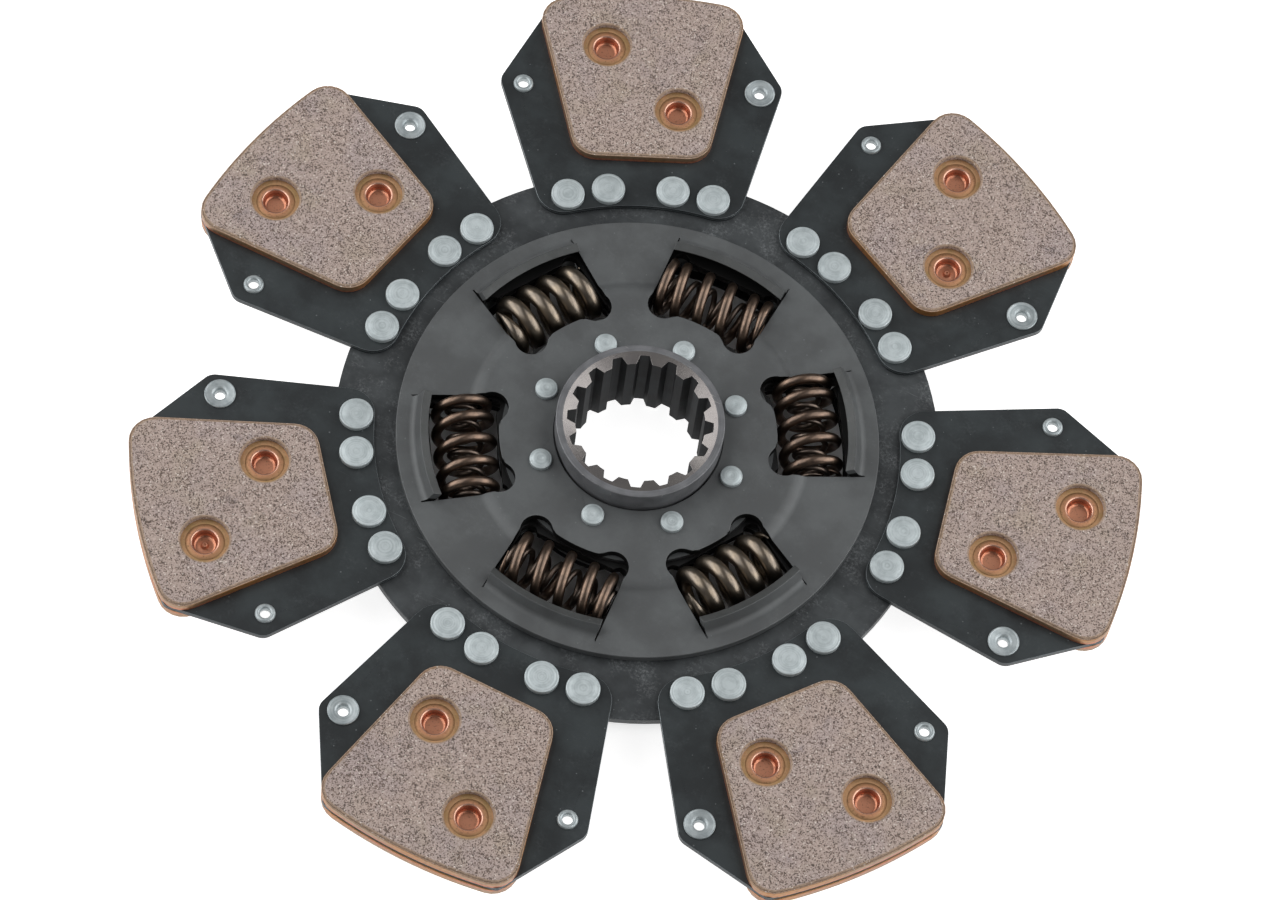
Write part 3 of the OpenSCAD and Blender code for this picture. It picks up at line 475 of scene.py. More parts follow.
SINTER = sintered_bronze("Sintered bronze friction lining", "#b2a097", "#a99b9b", "#ac9d8b", 0.85)
SHOULDER = sintered_bronze("Sintered bronze, stained edge", "#a9927f", "#9f8a7a", "#a98f73", 0.35)
COPPER = rivet_copper()
TRAY = tray_wall()
TRAY_FLOOR = tray_floor()
PADDLE = rolled_sheet("Oil-blacked spring steel sheet", "#232729", "#32383a", "#54585a", 0.35, 0.48, 0.2)
CARRIER = rolled_sheet("Blackened sheet steel, scuffed", "#2f3234", "#464a4c", "#7f8284", 0.8, 0.5, 0.2,
                       COVERED_R)
COVER = rolled_sheet("Phosphated sheet steel", "#565859", "#626566", "#757879", 0.3, 0.5, 0.3)
PAINTED_SHADE = rolled_sheet("Phosphated sheet steel, painted shade", "#080909", "#0e0f0f", "#1e1f1f", 0.3,
                      0.6, 0.1)
# Painted shade: the walls of the windows are near black, and they reflect little
PAINTED_SHADE.node_tree.nodes["Principled BSDF"].inputs["Specular IOR Level"].default_value = 0.2
LIP_EDGE = rolled_sheet("Sheared edge of the phosphated sheet", "#434545", "#505252", "#6a6b6b", 0.5,
                        0.5, 0.3)
EDGE = rolled_sheet("Sheared steel edge", "#6b7174", "#83898c", "#a0a5a7", 0.5, 0.35, 0.7)
HUB = turned_steel("Turned steel", "#7e7f82", "#696a6d", 0.42, 0.35)
MOUTH = turned_steel("Freshly faced steel", "#a19c99", "#969190", 0.27, 0.85)
BORE = broached_steel()
ZINC = zinc_plate("Zinc-plated rivet steel", "#cad3d5", "#b1bbbd", 0.5)
EYELET_ZINC = zinc_plate("Bright zinc-plated brass", "#bcc4c6", "#9aa4a7", 0.36)
WIRE = spring_wire("Oil-tempered spring wire", "#6d5e54", "#887364", 0.35)
HEAVY = spring_wire("Heavy oil-tempered spring wire", "#7d746a", "#948777", 0.33)
INNER = spring_wire("Thin oil-tempered spring wire", "#6c625b", "#827368", 0.4)
FRICTION = friction_ring()


# Geometry Nodes


def new_tree(name, inputs):
    """A geometry node tree with named inputs, its input node and the identifiers of its sockets."""
    tree = bpy.data.node_groups.new(name, "GeometryNodeTree")
    tree.is_modifier = True
    tree.interface.new_socket("Geometry", in_out="OUTPUT", socket_type="NodeSocketGeometry")
    tree.interface.new_socket("Geometry", in_out="INPUT", socket_type="NodeSocketGeometry")
    names = {}
    for key, kind in inputs:
        socket = tree.interface.new_socket(key, in_out="INPUT", socket_type="NodeSocket" + kind)
        names[key] = socket.identifier
    return tree, add(tree, "NodeGroupInput"), names


def grow(name, mesh, tree, names, values):
    """Runs a tree on a mesh and keeps the result as a plain object."""
    piece = bpy.data.objects.new(name, mesh)
    bpy.context.scene.collection.objects.link(piece)
    modifier = piece.modifiers.new(tree.name, "NODES")
    modifier.node_group = tree
    for key, value in values.items():
        modifier[names[key]] = value
    piece.update_tag()
    shown = piece.evaluated_get(bpy.context.evaluated_depsgraph_get())
    result = bpy.data.meshes.new_from_object(shown)
    piece.modifiers.clear()
    piece.data = result
    return piece


# Ends of a coil. The tip is a share of the wire thick, and the closed turn lies off the next by a gap
# in millimetres
TIP_SHARE = 0.1
CLOSED_GAP = 0.15
# Millimetres over which the closed turn opens into the pitch
EASE = 0.3
# Past this share of half its length, the coil's radius shrinks by this share of the way
SHRINK_PAST = 0.4
SHRINK = 0.06
# The wire is ground down over this part of a turn, to this share of its thickness
GROUND_TURN = 0.22
THINNEST = 0.1


def coil_tree():
    """A wire wound along X with closed, ground ends, and set in its window."""
    tree, given, names = new_tree("Coil spring", (
        ("Length", "Float"), ("Outer diameter", "Float"), ("Wire", "Float"), ("Pitch", "Float"),
        ("First crest", "Float"), ("Hand", "Float"), ("Rings", "Int"), ("Sides", "Int"),
        ("Place radius", "Float"), ("Place height", "Float"), ("Azimuth", "Float"),
        ("Finish", "Material")))
    made = {key: given.outputs[key] for key in names}
    made["index"] = add(tree, "GeometryNodeInputIndex")
    steps = (
        ("tip", "MULTIPLY", "Wire", TIP_SHARE),
        ("closed", "ADD", "Wire", CLOSED_GAP * MM),
        ("end", "ADD", "tip", "closed"),
        ("half", "MULTIPLY", "Length", 0.5),
        ("both", "MULTIPLY", "end", 2.0),
        ("open", "SUBTRACT", "Length", "both"),
        ("open turns", "DIVIDE", "open", "Pitch"),
        ("turns", "ADD", "open turns", 2.0),
        ("last", "SUBTRACT", "Rings", 1.0),
        ("share", "DIVIDE", "index", "last"),
        ("u", "MULTIPLY", "share", "turns"),
        ("past one", "SUBTRACT", "u", 1.0),
        ("climb", "MULTIPLY_ADD", "past one", "Pitch", "end"),
        ("middle", "SUBTRACT", "climb", "half"),
        ("first", "MULTIPLY_ADD", "closed", "u", "tip"),
        ("start", "SUBTRACT", "first", "half"),
        ("left", "SUBTRACT", "turns", "u"),
        ("back", "MULTIPLY_ADD", "closed", "left", "tip"),
        ("stop", "SUBTRACT", "half", "back"),
        ("lower", "SMOOTH_MAX", "middle", "start", EASE * MM),
        ("x", "SMOOTH_MIN", "lower", "stop", EASE * MM),
        ("from crest", "SUBTRACT", "u", "First crest"),
        ("radians", "MULTIPLY", "from crest", math.tau),
        ("angle", "MULTIPLY", "radians", "Hand"),
        ("across", "SUBTRACT", "Outer diameter", "Wire"),
        ("middle r", "MULTIPLY", "across", 0.5),
        ("off middle", "ABSOLUTE", "x"),
        ("towards end", "MULTIPLY_ADD", "half", -SHRINK_PAST, "off middle"),
        ("shrunk", "MAXIMUM", "towards end", 0.0),
        ("mean r", "MULTIPLY_ADD", "shrunk", -SHRINK, "middle r"),
        ("sine", "SINE", "angle"),
        ("cosine", "COSINE", "angle"),
        ("minus r", "MULTIPLY", "mean r", -1.0),
        ("y", "MULTIPLY", "sine", "minus r"),
        ("z", "MULTIPLY", "cosine", "mean r"),
        ("wire r", "MULTIPLY", "Wire", 0.5),
        ("nearest end", "MINIMUM", "u", "left"),
        ("full", "DIVIDE", "nearest end", GROUND_TURN),
        ("thick", "MAXIMUM", "full", THINNEST),
        ("taper", "MINIMUM", "thick", 1.0),
        ("minus half", "MULTIPLY", "half", -1.0),
    )
    for key, operation, *values in steps:
        made[key] = add(tree, "ShaderNodeMath", {"operation": operation},
                        {i: made[v] if isinstance(v, str) else v for i, v in enumerate(values)})
    line = add(tree, "GeometryNodeMeshLine", inputs={"Count": made["Rings"]})
    helix = add(tree, "ShaderNodeCombineXYZ", inputs={"X": made["x"], "Y": made["y"], "Z": made["z"]})
    wound = add(tree, "GeometryNodeSetPosition", inputs={"Geometry": line, "Position": helix})
    curve = add(tree, "GeometryNodeMeshToCurve", inputs={"Mesh": wound})
    section = add(tree, "GeometryNodeCurvePrimitiveCircle",
                  inputs={"Resolution": made["Sides"], "Radius": made["wire r"]})
    thinned = add(tree, "GeometryNodeSetCurveRadius", inputs={"Curve": curve, "Radius": made["taper"]})
    wire = add(tree, "GeometryNodeCurveToMesh", inputs={
        "Curve": thinned, "Profile Curve": section, "Scale": add(tree, "GeometryNodeInputRadius"),
        "Fill Caps": True})
    # The ends are ground flat
    part = add(tree, "ShaderNodeSeparateXYZ", inputs={"Vector": add(tree, "GeometryNodeInputPosition")})
    low = add(tree, "ShaderNodeMath", {"operation": "MAXIMUM"},
              {0: part.outputs["X"], 1: made["minus half"]})
    high = add(tree, "ShaderNodeMath", {"operation": "MINIMUM"}, {0: low, 1: made["half"]})
    ground = add(tree, "ShaderNodeCombineXYZ",
                 inputs={"X": high, "Y": part.outputs["Y"], "Z": part.outputs["Z"]})
    flat = add(tree, "GeometryNodeSetPosition", inputs={"Geometry": wire, "Position": ground})
    seat = add(tree, "ShaderNodeCombineXYZ",
               inputs={"Y": made["Place radius"], "Z": made["Place height"]})
    moved = add(tree, "GeometryNodeTransform", inputs={"Geometry": flat, "Translation": seat})
    turn = add(tree, "ShaderNodeCombineXYZ", inputs={"Z": made["Azimuth"]})
    way = add(tree, "FunctionNodeEulerToRotation", inputs={0: turn})
    placed = add(tree, "GeometryNodeTransform", inputs={"Geometry": moved, "Rotation": way})
    smooth = add(tree, "GeometryNodeSetShadeSmooth", inputs={"Geometry": placed})
    real = add(tree, "GeometryNodeRealizeInstances", inputs={"Geometry": smooth})
    finish = add(tree, "GeometryNodeSetMaterial", inputs={"Geometry": real, "Material": made["Finish"]})
    add(tree, "NodeGroupOutput", inputs={"Geometry": finish})
    return tree, names


def ring_tree():
    """Rivets on the given places, repeated round the hub's axis, each turned and tinted its own way."""
    tree, given, names = new_tree("Rivets round the disc", (
        ("Copies", "Int"), ("First turn", "Float"), ("Rivet", "Object"), ("Other rivet", "Object"),
        ("Seed", "Int"), ("Finish", "Material")))
    given = given.outputs
    step = add(tree, "ShaderNodeMath", {"operation": "DIVIDE"}, {0: math.tau, 1: given["Copies"]})
    angle = add(tree, "ShaderNodeMath", TIMES_ADD,
                {0: add(tree, "GeometryNodeInputIndex"), 1: step, 2: given["First turn"]})
    turn = add(tree, "ShaderNodeCombineXYZ", inputs={"Z": angle})
    turn = add(tree, "FunctionNodeEulerToRotation", inputs={0: turn})
    centre = add(tree, "GeometryNodePoints", inputs={"Count": given["Copies"]})
    ring = add(tree, "GeometryNodeInstanceOnPoints",
               inputs={"Points": centre, "Instance": given["Geometry"], "Rotation": turn})
    places = add(tree, "GeometryNodeRealizeInstances", inputs={"Geometry": ring})
    loose = add(tree, "FunctionNodeRandomValue", {"data_type": "FLOAT_VECTOR"},
                {"Min": (0, 0, 0), "Max": (0, 0, math.tau), "Seed": given["Seed"]})
    set_at = add(tree, "FunctionNodeEulerToRotation", inputs={0: loose})
    chance = add(tree, "FunctionNodeRandomValue", {"data_type": "FLOAT"}, {"Seed": given["Seed"]})
    share = add(tree, "GeometryNodeInputNamedAttribute", {"data_type": "FLOAT"}, {"Name": "other"})
    picked = add(tree, "FunctionNodeCompare", {"data_type": "FLOAT", "operation": "LESS_THAN"},
                 {0: chance, 1: share})
    rest = add(tree, "FunctionNodeBooleanMath", {"operation": "NOT"}, {0: picked})
    joined = add(tree, "GeometryNodeJoinGeometry")
    for key, chosen in (("Rivet", rest), ("Other rivet", picked)):
        shape = add(tree, "GeometryNodeObjectInfo", inputs={"Object": given[key]}).outputs["Geometry"]
        marked = add(tree, "GeometryNodeStoreNamedAttribute",
                     {"data_type": "FLOAT_VECTOR", "domain": "POINT"},
                     {"Geometry": shape, "Name": "own", "Value": add(tree, "GeometryNodeInputPosition")})
        group = add(tree, "GeometryNodeInstanceOnPoints",
                    inputs={"Points": places, "Selection": chosen, "Rotation": set_at,
                            "Instance": marked})
        tree.links.new(group.outputs[0], joined.inputs[0])
    cast = add(tree, "FunctionNodeRandomValue", {"data_type": "FLOAT"}, {"Seed": given["Seed"]})
    tinted = add(tree, "GeometryNodeStoreNamedAttribute", {"data_type": "FLOAT", "domain": "INSTANCE"},
                 {"Geometry": joined, "Name": "tint", "Value": cast})
    real = add(tree, "GeometryNodeRealizeInstances", inputs={"Geometry": tinted})
    finish = add(tree, "GeometryNodeSetMaterial", inputs={"Geometry": real, "Material": given["Finish"]})
    add(tree, "NodeGroupOutput", inputs={"Geometry": finish})
    return tree, names


# Turned shapes, as half profiles of radius and height in millimetres

# A head or flange stands this far off the sheet under it
LIFT = 0.02
# A solid rivet's head: share of its radius, share of its crown, and drop below that
HEAD_CURVE = ((0.5, 0.2, 0.0), (0.8, 0.7, 0.0), (0.82, 0.7, 0.06), (0.86, 0.8, 0.05))
HEAD_ROUND = 0.4
HEAD_FOOT = 0.1
# The header die's mark in the middle of the head, at its floor and at its rim
MARK_R = (0.55, 0.8)
# Feathered edge of a pad rivet's flange: in from its rim, and below its face
FLANGE_CURVE = ((1.3, 0.0), (0.9, 0.06), (0.5, 0.17), (0.2, 0.31), (0.0, 0.43))
# Torn stub that the punch left in some pad rivets: radius, and height over the cup's bottom
STUB = ((0, 0.7), (0.35, 0.65), (0.45, 1.1), (0.7, 1.15), (0.95, 0.9), (1.1, 0.2), (1.35, 0.0))
# Dished back of a pad rivet: radius, and depth of the dish
BACK_ROUND = 0.25
BACK_DISH = ((2.0, 0.0), (1.7, 0.12), (0, 0.15))
# Funnel of an eyelet: out from its bore, and height over the paddle's middle
FUNNEL = ((0.0, -1.0), (0.0, -0.1), (0.04, 0.25), (0.13, 0.6), (0.3, 0.95), (0.56, 1.25), (0.85, 1.43),
          (1.15, 1.5))
# Raised rim of an eyelet's head: its radius, how far it lies in from the edge, and where the dish ends
EYELET_RIM = 0.3
EYELET_RIM_IN = 0.04
EYELET_DISH = 0.72
EYELET_FOOT = 0.1
ROLL_DROP = 0.14
# An edge sharper than this, in degrees, isn't smoothed
SHARP = 42


def bend(r, z, size, start, end, steps):
    """Points on an arc of a profile, from one angle to another in degrees."""
    return [
        (r + size * math.cos(a), z + size * math.sin(a))
        for a in (math.radians(start + (end - start) * i / steps) for i in range(steps + 1))
    ]


def turned(name, profile, sides, ring=False, upside_down=False):
    """A mesh turned about Z: closed on the axis, or a ring where the profile never meets it."""
    work = bmesh.new()
    rings = []
    for r, z in profile:
        height = (-z if upside_down else z) * MM
        if r < 1e-6:
            rings.append([work.verts.new((0, 0, height))])
            continue
        around = [math.tau * i / sides for i in range(sides)]
        spots = [(r * MM * math.cos(a), r * MM * math.sin(a), height) for a in around]
        rings.append([work.verts.new(spot) for spot in spots])
    pairs = list(zip(rings, rings[1:])) + ([(rings[-1], rings[0])] if ring else [])
    for one, two in pairs:
        for i in range(sides):
            k = (i + 1) % sides
            corners = [one[i % len(one)], one[k % len(one)], two[k % len(two)], two[i % len(two)]]
            work.faces.new(list(dict.fromkeys(corners)))
    bmesh.ops.recalc_face_normals(work, faces=work.faces)
    mesh = bpy.data.meshes.new(name)
    work.to_mesh(mesh)
    work.free()
    mesh.shade_smooth()
    mesh.set_sharp_from_angle(angle=math.radians(SHARP))
    return bpy.data.objects.new(name, mesh)


def places(points):
    """A mesh of bare points, each x, y, z in millimetres and its share of the other rivet."""
    mesh = bpy.data.meshes.new("places")
    mesh.from_pydata([[v * MM for v in p[:3]] for p in points], [], [])
    share = mesh.attributes.new("other", "FLOAT", "POINT")
    share.data.foreach_set("value", [p[3] for p in points])
    return mesh


def solid_rivet(name, head_r, shank_r, grip, crown, dimple):
    """A cold-headed rivet about z = 0: the die left a ring near its edge and a mark in the middle."""
    under = grip / 2
    top = under + HEAD_H
    half = [
        (0, top - dimple),
        (MARK_R[0], top - dimple),
        (MARK_R[1], top),
        *((head_r * out, top - crown * down - drop) for out, down, drop in HEAD_CURVE),
        *bend(head_r - HEAD_ROUND, top - crown - HEAD_ROUND, HEAD_ROUND, 75, 0, 4),
        (head_r, under + LIFT + HEAD_FOOT),
        (head_r - HEAD_FOOT, under + LIFT),
        (shank_r, under + LIFT),
        (shank_r, 0),
    ]
    return turned(name, half + [(r, -z) for r, z in reversed(half)], 56)


def pad_rivet(name, stub):
    """A semi-tubular rivet about z = 0: a flange round a deep cup in front, and a closed head behind."""
    grip = PLATE_T + TRAY_T
    face = grip + PAD_FLANGE_T
    bottom = face - PAD_CUP_DEPTH
    profile = [(r, bottom + up) for r, up in STUB] if stub else [(0, bottom)]
    profile += bend(PAD_BORE_R - PAD_CUP_FILLET, bottom + PAD_CUP_FILLET, PAD_CUP_FILLET, -90, 0, 7)
    profile += bend(PAD_BORE_R + PAD_MOUTH_R, face - PAD_MOUTH_R, PAD_MOUTH_R, 180, 90, 7)
    profile += [(PAD_FLANGE_R - back, face - down) for back, down in FLANGE_CURVE]
    profile += [(PAD_FLANGE_R, grip + LIFT), (PAD_TUBE_R, grip + LIFT), (PAD_TUBE_R, -grip - LIFT),
                (PAD_FLANGE_R, -grip - LIFT)]
    profile += bend(PAD_FLANGE_R - BACK_ROUND, BACK_ROUND - face, BACK_ROUND, 0, -90, 4)
    profile += [(r, deep - face) for r, deep in BACK_DISH]
    return turned(name, profile, 64)


def eyelet(name, upside_down):
    """A drawn eyelet about z = 0: a wide thin head with a raised rim and a funnel, and a rolled end."""
    top = PLATE_T
    roll_r = (EYELET_ROLL_R - EYELET_BORE_R) / 2
    profile = [(EYELET_BORE_R + out, z) for out, z in FUNNEL]
    profile += [(EYELET_HEAD_R - EYELET_DISH, FUNNEL[-1][1])]
    rim = EYELET_RIM + EYELET_RIM_IN
    profile += bend(EYELET_HEAD_R - rim, top + rim, EYELET_RIM, 130, 0, 6)
    profile += [(EYELET_HEAD_R - EYELET_RIM_IN, top + EYELET_FOOT),
                (EYELET_HEAD_R - EYELET_RIM_IN - 0.08, top + LIFT),
                (EYELET_TUBE_R, top + LIFT), (EYELET_TUBE_R, -top - LIFT), (EYELET_ROLL_R, -top - LIFT)]
    profile += bend(EYELET_BORE_R + roll_r, -top - ROLL_DROP, roll_r, 0, -180, 10)
    return turned(name, profile, 44, ring=True, upside_down=upside_down)


# Pieces that repeat round the disc

RING, RING_NAMES = ring_tree()
FIRST_PADDLE = math.radians(-180)
# Share of the places that take the other rivet
STUB_SHARE = 0.22
NONE, ALL = 0.0, 1.1


def riveted(name, node, body, points, rivet, other, copies, first, finish, seed):
    """Sets rivets on their places round the disc, in place of a CAD node."""
    piece = grow(name, places(points), RING, RING_NAMES, {
        "Copies": copies, "First turn": first, "Rivet": rivet, "Other rivet": other, "Seed": seed,
        "Finish": finish})
    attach(piece, body)
    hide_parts(node)


carrier_rivet = solid_rivet("carrier_rivet", CARRIER_HEAD_R, CARRIER_SHANK_R, CARRIER_GRIP,
                            crown=0.1, dimple=0.03)
riveted("carrier_rivet_heads", "carrier_rivets", "lining_body",
        [(s * x, math.sqrt(CARRIER_RIVET_RING**2 - x * x), MID_Z + PLATE_T, NONE)
         for s in (-1, 1) for x in CARRIER_RIVET_X],
        carrier_rivet, carrier_rivet, PADDLES, FIRST_PADDLE, ZINC, seed=3)
hub_rivet = solid_rivet("hub_rivet", HUB_HEAD_R, HUB_SHANK_R, 2 * COVER_TOP, crown=0.3, dimple=0.1)
riveted("hub_rivet_heads", "hub_rivets", "hub_body",
        [(HUB_RIVET_RING, 0.0, MID_Z, NONE)], hub_rivet, hub_rivet, HUB_RIVETS, 0.0, ZINC,
        seed=5)
riveted("pad_rivet_tubes", "pad_rivets", "lining_body",
        [(x, y, PAD_STACK, STUB_SHARE) for x, y in PAD_RIVETS],
        pad_rivet("plain_pad_rivet", False), pad_rivet("stub_pad_rivet", True),
        PADDLES, FIRST_PADDLE, COPPER, seed=11)
riveted("eyelet_rings", "eyelets", "lining_body",
        [(EYELET[0], EYELET[1], PAD_STACK, NONE), (-EYELET[0], EYELET[1], PAD_STACK, ALL)],
        eyelet("eyelet_head_up", False), eyelet("eyelet_head_down", True),
        PADDLES, FIRST_PADDLE, EYELET_ZINC, seed=7)

# Damper springs

COIL, COIL_NAMES = coil_tree()
INNER_CREST = 0.3
# Rings along the wire and sides round it
COIL_MESH = (190, 22)
INNER_MESH = (230, 12)


def wound(name, node, window, outer, wire, pitch, hand, crest, finish, slot, mesh):
    """Winds a spring into its window."""
    azimuth, width = window[:2]
    length = width - WINDOW_FLARE * SPRING_OD - SPRING_ROOM
    piece = grow(name, bpy.data.meshes.new(name), COIL, COIL_NAMES, {
        "Length": length * MM, "Outer diameter": outer * MM, "Wire": wire * MM, "Pitch": pitch * MM,
        "First crest": crest, "Hand": hand, "Rings": mesh[0], "Sides": mesh[1],
        "Place radius": SPRING_RING * MM, "Place height": MID_Z * MM,
        "Azimuth": math.radians(azimuth - 90),
        "Finish": finish})
    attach(piece, "hub_body")
    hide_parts(node)
    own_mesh(piece)


for number, window in enumerate(WINDOWS, 1):
    if window[3]:
        wound(f"damper_spring_{number}", f"spring_{number}", window, SPRING_OD, HEAVY_WIRE, HEAVY_PITCH,
              1.0, window[2], HEAVY, "heavy_spring_steel", COIL_MESH)
        continue
    wound(f"damper_spring_{number}", f"spring_{number}", window, SPRING_OD, SPRING_WIRE, SPRING_PITCH,
          1.0, window[2], WIRE, "spring_steel", COIL_MESH)
    wound(f"inner_spring_{number}", "inner_springs", window, INNER_OD, INNER_WIRE, INNER_PITCH,
          -1.0, INNER_CREST, INNER, "spring_steel", INNER_MESH)


# Rigid pieces, with their edges broken as deburring leaves them

# The spline's faces lie within this radius, and the lips' cut ends stand this far off the plate
SPLINE_REACH = SPLINE_MAJOR_R + 0.3
LIP_ABOVE = 1
# How far a face's normal points along the axis where the face is upright, leaning or level
UPRIGHT = 0.3
LEANING = 0.5
LEVEL = 0.8
MOUTH_SLOPE = (0.9, 0.99)
WINDOW_REACH = (36, COVERED_R)
# Points nearer than this, in millimetres, are one, and faces within this angle, in degrees, are flat
MERGED = 0.002
FLAT = 0.4


def hub_part(at, facing):
    """Finish of a hub face: 0 turned, 1 the mouth chamfer, 2 the spline."""
    reach = at.xy.length
    if reach < SPLINE_REACH and abs(facing.z) < UPRIGHT:
        return 2
    return 1 if reach < MOUTH_R and MOUTH_SLOPE[0] < abs(facing.z) < MOUTH_SLOPE[1] else 0


def lip_part(at, facing):
    """Finish of a side plate's face: 1 on the cut ends of its lips, 2, painted shade, on the walls of its
    windows.
    """
    if abs(facing.z) > LEVEL:
        return 1 if abs(at.z - MID_Z) > COVER_TOP + LIP_ABOVE else 0
    near = WINDOW_REACH[0] < at.xy.length < WINDOW_REACH[1]
    inside = near and (abs(at.z - MID_Z) < COVER_TOP or facing.xy.dot(at.xy) < 0)
    # Walls deep in the windows get painted shade
    return 2 if inside and abs(facing.z) < LEANING else 0


def tray_part(at, facing):
    """Finish of a tray's face: 0 on its wall, 1 on its floor, 2 on its rim, stained like the pad."""
    if abs(facing.z) < LEANING:
        return 0
    return 1 if abs(at.z - PAD_STACK) < TRAY_H else 2


def deburred(node, width, finishes, broken=-1, part=None, segments=2, crease=35, joined=False):
    """A merged copy of a CAD node stands in for it, with bevelled edges and a finish for each face."""
    source = frame["nodes"][node]
    mesh = source.data.copy()
    mesh.materials.clear()
    for finish in finishes:
        mesh.materials.append(finish)
    work = bmesh.new()
    work.from_mesh(mesh)
    bmesh.ops.remove_doubles(work, verts=work.verts, dist=MERGED * MM)
    if joined:
        bmesh.ops.dissolve_limit(work, angle_limit=math.radians(FLAT), verts=work.verts, edges=work.edges)
    for face in work.faces:
        face.material_index = part(face.calc_center_median() / MM, face.normal) if part else 0
    work.to_mesh(mesh)
    work.free()
    mesh.shade_smooth()
    mesh.set_sharp_from_angle(angle=math.radians(crease))
    piece = bpy.data.objects.new(node + "_deburred", mesh)
    bpy.context.scene.collection.objects.link(piece)
    bevel = piece.modifiers.new("Edge break", "BEVEL")
    bevel.width = width * MM
    bevel.segments = segments
    bevel.limit_method = "ANGLE"
    bevel.angle_limit = math.radians(crease)
    bevel.use_clamp_overlap = False
    bevel.harden_normals = True
    bevel.material = broken
    flat = piece.modifiers.new("Flat faces", "WEIGHTED_NORMAL")
    flat.mode = "FACE_AREA_WITH_ANGLE"
    flat.keep_sharp = True
    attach(piece, source["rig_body"])
    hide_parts(node)


deburred("hub", 0.08, [HUB, MOUTH, BORE], part=hub_part, crease=12)
for side in ("front", "rear"):
    deburred(f"{side}_side_plate", 0.2, [COVER, LIP_EDGE, PAINTED_SHADE], part=lip_part)
deburred("carrier_disc", 0.15, [CARRIER])
for side in ("front", "back"):
    for k in range(1, PADDLES + 1):
        deburred(f"{side}_plate_{k}", 0.1, [PADDLE, EDGE], broken=1)
        deburred(f"{side}_tray_{k}", 0.2, [TRAY, TRAY_FLOOR, SHOULDER], part=tray_part,
                 segments=3)
        deburred(f"{side}_pad_{k}", 0.6, [SINTER, SHOULDER], broken=1, segments=4,
                 joined=True)
for node, finish in (("front_friction_ring", FRICTION), ("rear_friction_ring", FRICTION),
                     ("spring_washer", COVER)):
    frame["nodes"][node].data.materials.clear()
    frame["nodes"][node].data.materials.append(finish)


# Studio


def floor():
    """White paper floor: it keeps the disc's shadow, and the eye and reflections see it as white, but for a
    ring of painted shade under the disc.
    """
    made, tree, place = new_material("White paper floor", 1.0, 0.0)
    reach = add(tree, "ShaderNodeVectorMath", {"operation": "LENGTH"}, {0: place}).outputs["Value"]
    # Under the disc the glow is taken away: painted shade
    inner = add(tree, "ShaderNodeMapRange", SMOOTH,
                {"Value": reach, "From Min": SHADE_FROM[0] * MM, "From Max": SHADE_FROM[1] * MM})
    outer = add(tree, "ShaderNodeMapRange", SMOOTH,
                {"Value": reach, "From Min": SHADE_TO[1] * MM, "From Max": SHADE_TO[0] * MM})
    shade = add(tree, "ShaderNodeMath", TIMES, {0: inner, 1: outer})
    open_floor = add(tree, "ShaderNodeMath", LESS, {0: 1.0, 1: shade})
    path = add(tree, "ShaderNodeLightPath").outputs
    seen = add(tree, "ShaderNodeMath", {"operation": "ADD"},
               {0: path["Is Camera Ray"], 1: path["Is Glossy Ray"]})
    seen = add(tree, "ShaderNodeMath", {"operation": "ADD"}, {0: seen, 1: path["Is Transmission Ray"]})
    lit = add(tree, "ShaderNodeMath", TIMES, {0: seen, 1: open_floor})
    glow = add(tree, "ShaderNodeEmission",
               inputs={"Strength": add(tree, "ShaderNodeMath", TIMES, {0: lit, 1: FLOOR_GLOW})})
    matt = add(tree, "ShaderNodeBsdfDiffuse", inputs={"Color": linear("#e8e8e8")})
    both = add(tree, "ShaderNodeAddShader", inputs={0: matt, 1: glow})
    tree.nodes.remove(tree.nodes["Principled BSDF"])
    tree.links.new(both.outputs[0], tree.nodes["Material Output"].inputs["Surface"])
    mesh = bpy.data.meshes.new("floor")
    corners = [(x * FLOOR_HALF, y * FLOOR_HALF, 0) for x, y in ((-1, -1), (1, -1), (1, 1), (-1, 1))]
    mesh.from_pydata(corners, [], [(0, 1, 2, 3)])
    mesh.materials.append(made)
    piece = bpy.data.objects.new("floor", mesh)
    bpy.context.scene.collection.objects.link(piece)


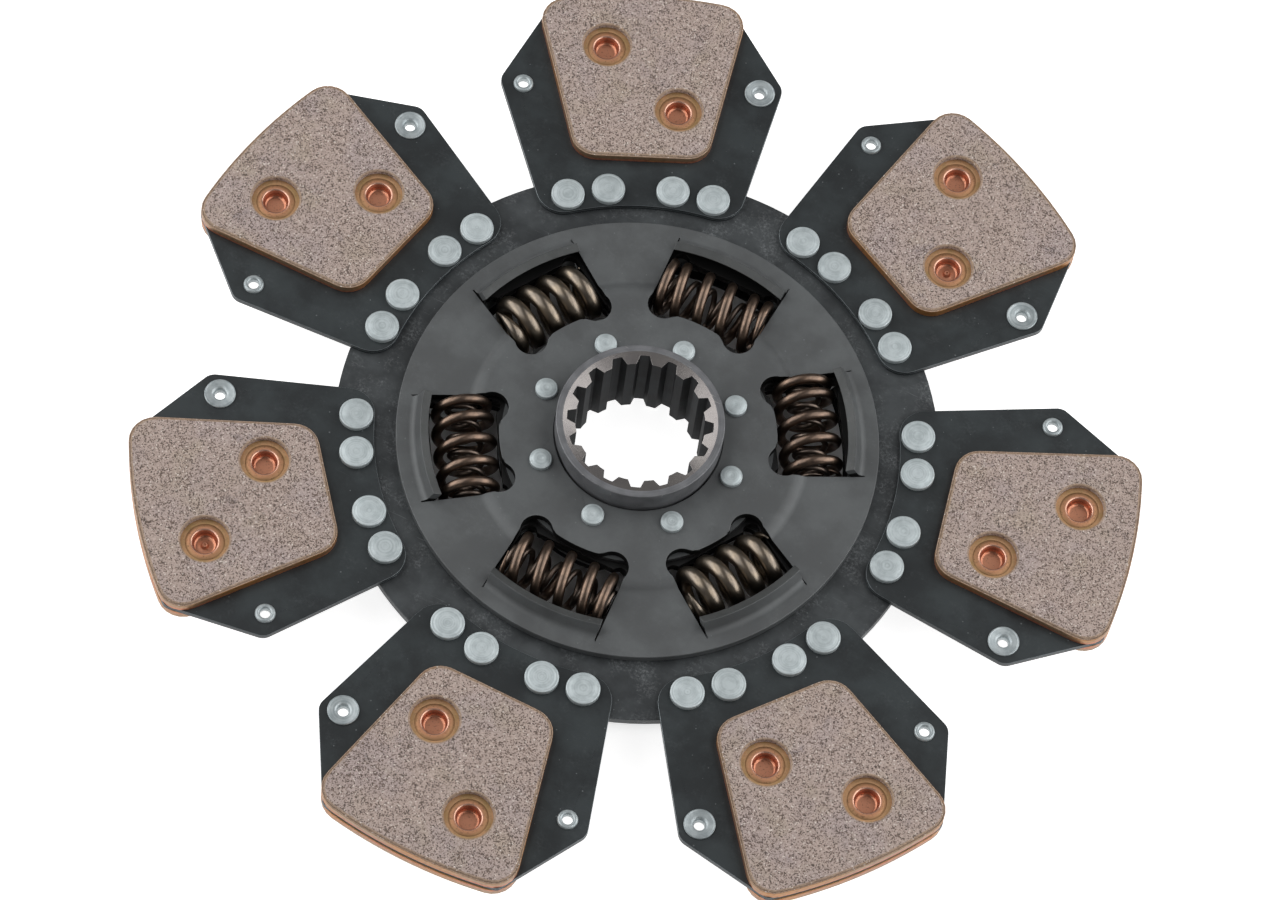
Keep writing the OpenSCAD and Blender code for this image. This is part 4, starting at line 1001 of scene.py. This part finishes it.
def softbox(name, right, far, height, size, watts):
    """A rectangular softbox that faces the disc, placed as the photograph's camera sees it."""
    lamp = bpy.data.lights.new(name, "AREA")
    lamp.shape = "RECTANGLE"
    lamp.size, lamp.size_y = size
    lamp.energy = watts
    made = bpy.data.objects.new(name, lamp)
    turn = Matrix.Rotation(math.radians(CAMERA_TURN), 3, "Z")
    made.location = turn @ Vector((right, far, height))
    made.rotation_euler = (-made.location).to_track_quat("-Z", "Y").to_euler()
    bpy.context.scene.collection.objects.link(made)


def room(strength):
    """Even white room light."""
    world = bpy.data.worlds.new("Studio")
    world.use_nodes = True
    world.node_tree.nodes["Background"].inputs["Color"].default_value = (1, 1, 1, 1)
    world.node_tree.nodes["Background"].inputs["Strength"].default_value = strength
    bpy.context.scene.world = world


def photo_camera():
    """The photograph's camera: it looks at the hub from above the disc's near edge, rolled a little."""
    rise, roll = math.radians(CAMERA_ELEVATION), math.radians(CAMERA_ROLL)
    back = Vector((0, -math.cos(rise), math.sin(rise)))
    level, up = Vector((1, 0, 0)), Vector((0, math.sin(rise), math.cos(rise)))
    right = math.cos(roll) * level + math.sin(roll) * up
    top = math.cos(roll) * up - math.sin(roll) * level
    across = (AXIS_PIXEL[0] - PHOTO_SIZE[0] / 2) / CAMERA_FOCAL_PX * CAMERA_DISTANCE
    upward = (PHOTO_SIZE[1] / 2 - AXIS_PIXEL[1]) / CAMERA_FOCAL_PX * CAMERA_DISTANCE
    place = CAMERA_DISTANCE * back - across * right - upward * top
    data = bpy.data.cameras.new("photo")
    data.sensor_width = SENSOR_MM
    data.lens = CAMERA_FOCAL_PX / PHOTO_SIZE[0] * SENSOR_MM
    data.clip_start, data.clip_end = CAMERA_CLIP
    made = bpy.data.objects.new("photo", data)
    turn = Matrix.Rotation(math.radians(CAMERA_TURN), 4, "Z")
    pose = Matrix((right, top, back)).transposed().to_4x4()
    pose.translation = place
    made.matrix_world = Matrix.Translation((0, 0, AXIS_HEIGHT * MM)) @ turn @ pose
    bpy.context.scene.collection.objects.link(made)
    bpy.context.scene.camera = made


floor()
room(ROOM_LIGHT)
for side in (-1, 1):
    for name, right, far, height, size, watts in SOFTBOXES:
        softbox(name, side * right, far, height, size, watts)
photo_camera()
bpy.context.scene.view_settings.view_transform = "Standard"
